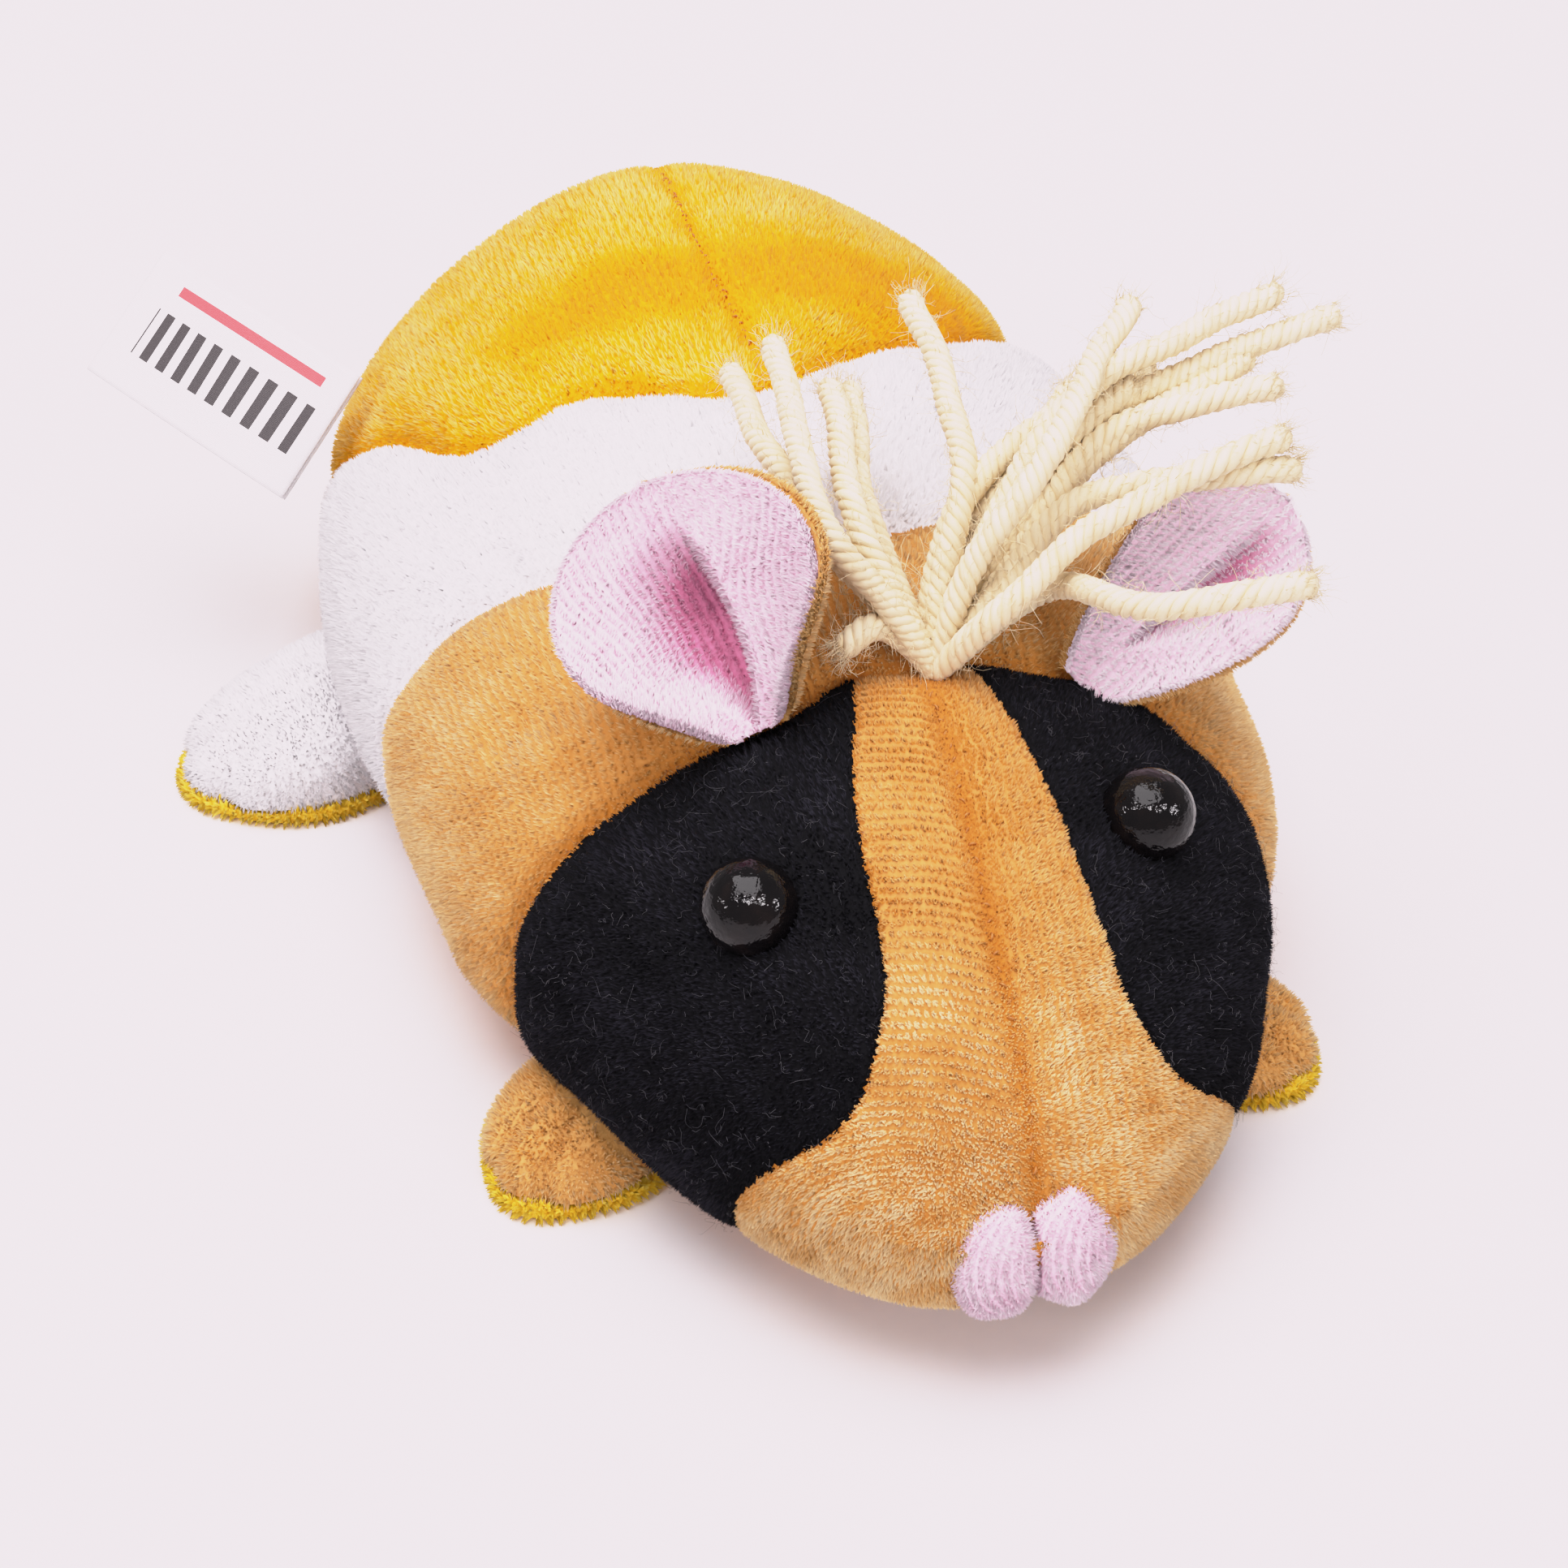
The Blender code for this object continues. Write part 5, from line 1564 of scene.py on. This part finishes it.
# %% Yarn strands
YARN_ROOT = np.array((1.4, -32.0, 34.8)) * MM
STRANDS = np.array((
    # two places on the way and the tip of each strand, from the knot
    ((-3.0, 3.6, 4.0), (-6.6, 8.2, 8.0), (-7.7, 27.1, 10.0)),
    ((-3.2, 2.2, 5.0), (-6.8, 6.6, 10.0), (-4.8, 24.5, 13.0)),
    ((-2.5, 3.0, 5.0), (-3.8, 8.0, 9.0), (-1.4, 21.5, 11.0)),
    ((-1.4, 4.8, 4.0), (-2.0, 11.3, 8.0), (0.6, 22.2, 10.0)),
    ((1.2, 3.0, 5.0), (4.5, 9.0, 11.0), (5.7, 24.9, 15.0)),
    ((2.5, 1.1, 7.0), (8.8, 3.2, 15.0), (18.3, 15.0, 18.0)),
    ((4.9, 4.6, 7.0), (12.7, 8.8, 15.0), (28.6, 12.3, 19.0)),
    ((5.6, 5.0, 6.0), (15.4, 9.3, 13.0), (33.1, 11.3, 17.0)),
    ((5.6, 3.9, 6.0), (16.0, 7.5, 12.0), (26.4, 10.4, 15.0)),
    ((3.9, -2.3, 6.0), (11.7, -0.5, 11.0), (24.3, -0.4, 15.0)),
    ((4.4, 0.6, 5.0), (11.6, 3.3, 10.0), (24.7, -1.5, 13.0)),
    ((7.9, 0.5, 5.0), (12.1, -8.8, 9.0), (20.9, -13.1, 12.0)),
    ((3.0, 5.6, 4.0), (7.5, 8.2, 9.0), (15.2, 14.7, 12.0)),
    ((2.9, 3.6, 4.0), (8.1, 6.4, 8.0), (20.8, 15.0, 13.0)),
    ((-2.0, 1.8, 2.0), (-4.3, 2.0, 3.0), (-7.0, 1.7, 2.0)),
    ((1.1, 4.1, 5.0), (5.5, 7.9, 10.0), (15.6, 12.3, 14.0)),
    ((6.8, 2.8, 6.5), (14.5, 7.3, 12.0), (27.0, 6.7, 15.0)),
    ((3.5, 3.2, 5.5), (9.0, 7.0, 11.0), (17.5, 10.0, 14.5)),
)) * MM
STRAND_STEPS = 90
WOOL = ((0.43, 0.27, 0.11), (0.74, 0.58, 0.34), (0.86, 0.74, 0.51))


def strand_line(places, steps=STRAND_STEPS):
    """Even steps along the bent middle line of a strand, with a little wobble."""
    line = smooth_line(YARN_ROOT + np.concatenate([np.zeros((1, 3)), places]), 400)
    mark = tape_along(line)
    line = read_line(line, mark, np.linspace(0, mark[-1], steps))
    wobble = np.stack([smooth_noise(line, 9 * MM, 40 + k) for k in range(3)], axis=-1)
    return line + wobble * 0.40 * MM * np.linspace(0, 1, steps)[:, None], mark[-1]


def yarn_material():
    """Cream wool, streaked along its fibres."""
    material, tree, shader = new_material("cream_yarn")
    uv = add_node(tree, "UVMap", uv_map="OFBake").outputs["UV"]
    stretched = add_node(tree, "Mapping", {"Vector": uv, "Scale": (900.0, 26.0, 1.0)})
    inputs = {"Vector": stretched.outputs["Vector"], "Scale": 1.0}
    streak = add_node(tree, "TexNoise", inputs).outputs["Fac"]
    tone = add_node(tree, "Attribute", attribute_name="tone").outputs["Fac"]
    tone = maths(tree, "ADD", tone, maths(tree, "MULTIPLY_ADD", streak, 0.5, -0.25))
    join(shader, {"Base Color": ramp(tree, tone, WOOL), "Roughness": 0.75,
                  "Specular IOR Level": 0.25, "Sheen Weight": 0.25,
                  "Normal": bump(tree, streak, 0.6, 0.05 * MM)})
    return material


def plies_of(line, length, rng):
    """Paths, radii and tones of the plies of one strand."""
    (side,), (other,) = frames_along(line[None], (0.2, 0.9, 0.4))
    mark = np.linspace(0, length, len(line))
    to_end = length - mark
    fray = np.exp(-to_end / (0.9 * MM))
    twist = 2 * np.pi * mark / (TWIST_PITCH * (1 + 0.06 * rng.normal()))
    twist = twist + 0.5 * np.sin(mark / (4.0 * MM) + rng.uniform(0, 6))
    plies = []
    for ply in range(PLIES):
        turn = -twist + 2 * np.pi * (ply + 0.05 * rng.normal()) / PLIES
        offset = PLY_OFFSET * (1 + fray * rng.uniform(0.0, 0.4))
        offset = offset * (1 - 0.75 * np.exp(-(to_end / (0.40 * MM)) ** 2))
        around = side * np.cos(turn)[:, None] + other * np.sin(turn)[:, None]
        radius = PLY_RADIUS * (1 + 0.06 * np.sin(mark / (0.5 * MM) + rng.uniform(0, 6)))
        radius = radius * (1 - 0.45 * np.exp(-to_end / (0.35 * MM)))
        tone = 0.55 + 0.05 * rng.normal() + 0.15 * (mark / length)
        plies.append((line + around * offset[:, None], radius, tone))
    return plies


wool = yarn_material()
rng = np.random.default_rng(7)
strand_lines = [strand_line(places) for places in STRANDS]
plies = [ply for line, length in strand_lines for ply in plies_of(line, length, rng)]
ply_paths, ply_radii, ply_tones = map(np.array, zip(*plies))
yarn = tube_piece("yarn_strands", ply_paths, ply_radii, 8, wool, ply_tones,
                  np.repeat(np.array([line for line, _ in strand_lines]), PLIES, axis=0))
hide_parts("yarn_tuft")
strand_lengths = [length / MM for _, length in strand_lines]
print("strands from %.0f to %.0f mm long" % (min(strand_lengths), max(strand_lengths)))

# %% [markdown]
# ## Loose fibres
# Wool sheds fine fibres: a halo round each strand, and a brush of them at the cut ends.  Each
# is a thin curved tube.

# %% Loose fibres
HALO_COUNT, HALO_END_COUNT, HALO_RADIUS, HALO_CURL = 210, 70, 0.026 * MM, 1.7


def loose_fibres(roots, directions, lengths, curl, radius, rng, steps=7):
    """Curled paths and radii of loose fibres; curl is how far they turn on the way."""
    count = len(roots)
    t = np.linspace(0, 1, steps)
    side = unit(np.cross(directions, unit(rng.normal(size=(count, 3)))))
    turned = curl * rng.normal(size=(count, 1)) * t + 0.5 * curl * rng.normal(
        size=(count, 1)) * np.sin(2 * np.pi * t)
    heading = (directions[:, None] * np.cos(turned)[..., None]
               + side[:, None] * np.sin(turned)[..., None])
    step = heading[:, :-1] * (lengths / (steps - 1))[:, None, None]
    paths = roots[:, None] + np.concatenate([np.zeros((count, 1, 3)), np.cumsum(step, axis=1)],
                                            axis=1)
    radii = np.broadcast_to(radius * (1 - 0.5 * t), (count, steps))
    paths[..., 2] = np.maximum(paths[..., 2], TABLE_CLEARANCE + radius)
    return paths, radii


def halo_of(line, count, end_count, rng):
    """Loose fibres of one strand, some along it and some at its cut end."""
    heading = unit(np.gradient(line, axis=0))
    spots = np.concatenate([rng.uniform(0.05, 1.0, count), rng.uniform(0.95, 1.0, end_count)])
    total, steps = len(spots), np.arange(len(line))
    base, way = [read_line(part, steps, spots * (len(line) - 1)) for part in (line, heading)]
    sideways = unit(np.cross(way, unit(rng.normal(size=way.shape))))
    is_end = np.arange(total) >= count
    roots = base + sideways * (0.95 * MM * rng.uniform(0.7, 1.0, total))[:, None]
    forward = np.where(is_end, rng.uniform(0.7, 1.4, total), rng.uniform(-1.2, 1.2, total))
    directions = unit(way * forward[:, None] + sideways * rng.uniform(0.1, 0.7, total)[:, None])
    lengths = np.where(is_end, rng.uniform(0.8, 2.2, total), rng.uniform(0.9, 3.0, total))
    return roots, directions, lengths * MM


roots, directions, lengths = [np.concatenate(part) for part in zip(*[
    halo_of(line, HALO_COUNT, HALO_END_COUNT, rng) for line, _ in strand_lines])]
paths, radii = loose_fibres(roots, directions, lengths, HALO_CURL, HALO_RADIUS, rng, steps=5)
tube_piece("yarn_fibres", paths, radii, 3, wool, np.full(paths.shape[:2], 0.75))
print(len(paths), "loose fibres of wool")

# %% [markdown]
# ## Lint on the black patches
# Black velour picks up every pale fibre.  The lint is short and curly, lies evenly over the
# tips of the pile, and keeps clear of the beads.

# %% Lint
LINT_COUNT = {"eye_patch_left": 900, "eye_patch_right": 820}
LINT_RADIUS, LINT_CURL, CLEAR_OF_EYE = 0.010 * MM, 2.6, 3.6 * MM
DUST = ((0.02, 0.02, 0.028), (0.07, 0.068, 0.08), (0.24, 0.23, 0.25))
grey_lint = mottled_material("grey_lint", 4.0 * MM, DUST, 0.7)
for name, count in LINT_COUNT.items():
    rng = np.random.default_rng(len(name))
    cells = np.argwhere(cell_panels[name])
    weight = bag_facts["area"][cells[:, 0], cells[:, 1]]
    picked = cells[rng.choice(len(cells), count, p=weight / weight.sum())]
    rows, columns = (picked + rng.random(picked.shape)).T
    roots = read_grid(skin_grid, rows, columns)
    normals = unit(read_grid(skin_normals, rows, columns))
    far = np.min([np.linalg.norm(roots - centre, axis=1)
                  for centre, _ in eye_seats.values()], axis=0) > CLEAR_OF_EYE
    roots, normals = roots[far], normals[far]
    roots = roots + normals * (PILE_DEPTH * rng.uniform(0.9, 1.5, len(roots)))[:, None]
    flat = unit(np.cross(normals, rng.normal(size=roots.shape)))
    directions = unit(flat + normals * rng.uniform(-0.1, 0.35, len(roots))[:, None])
    lengths = rng.gamma(3.0, 0.34, len(roots)) * MM
    paths, radii = loose_fibres(roots, directions, lengths, LINT_CURL, LINT_RADIUS, rng)
    tube_piece("lint_" + name, paths, radii, 3, grey_lint,
               np.full(paths.shape[:2], 0.5))
    print(name, len(paths), "fibres of lint")

# %% [markdown]
# ## Seam threads
# Where two panels meet, the sewing thread shows as small darker stitches at the bottom of the
# valley.  They are short curved tubes across the seam, on the blaze and on the rump.

# %% Stitches
STITCH_EVERY, STITCH_REACH, THREAD_RADIUS = 1.1 * MM, 0.26 * MM, 0.08 * MM
THREAD = ((0.22, 0.080, 0.012), (0.46, 0.180, 0.035), (0.60, 0.26, 0.06))
STITCHED = ((-33.5 * MM, -62.5 * MM), (10.0 * MM, 60.0 * MM))


def crown_path(y_from, y_to):
    """Even steps down the centre seam, and the ways out, across and back at each."""
    ys = np.linspace(y_from, y_to, 1200)
    rows = np.interp(ys, skin_grid[:, COLUMNS // 2, 1], np.arange(ROWS + 1))
    mark = tape_along(read_grid(skin_grid, rows, np.full(len(rows), COLUMNS / 2)))
    at = np.interp(np.arange(0.5 * STITCH_EVERY, mark[-1], STITCH_EVERY), mark, rows)
    middle = np.full(len(at), COLUMNS / 2)
    ways = (skin_normals, bag_facts["out"], bag_facts["back"])
    return [read_grid(skin_grid, at, middle)] + [unit(read_grid(w, at, middle)) for w in ways]


rng = np.random.default_rng(21)
arc = np.linspace(-1, 1, 7)
stitch_paths = []
for y_from, y_to in STITCHED:
    for spot, out_way, side, back_way in zip(*crown_path(y_from, y_to)):
        way = unit(side + back_way * rng.uniform(-2.5, 2.5))
        lift = (rng.uniform(0.10, 0.30) - 0.22 * arc ** 2) * MM
        spot = spot + side * rng.normal() * 0.12 * MM
        stitch_paths.append(spot + arc[:, None] * way * STITCH_REACH + lift[:, None] * out_way)
stitch_paths = np.array(stitch_paths)
tube_piece("seam_stitches", stitch_paths, np.full(stitch_paths.shape[:2], THREAD_RADIUS), 6,
           mottled_material("seam_thread", 0.2 * MM, THREAD, 0.6),
           np.full(stitch_paths.shape[:2], 0.5))
print(len(stitch_paths), "stitches")
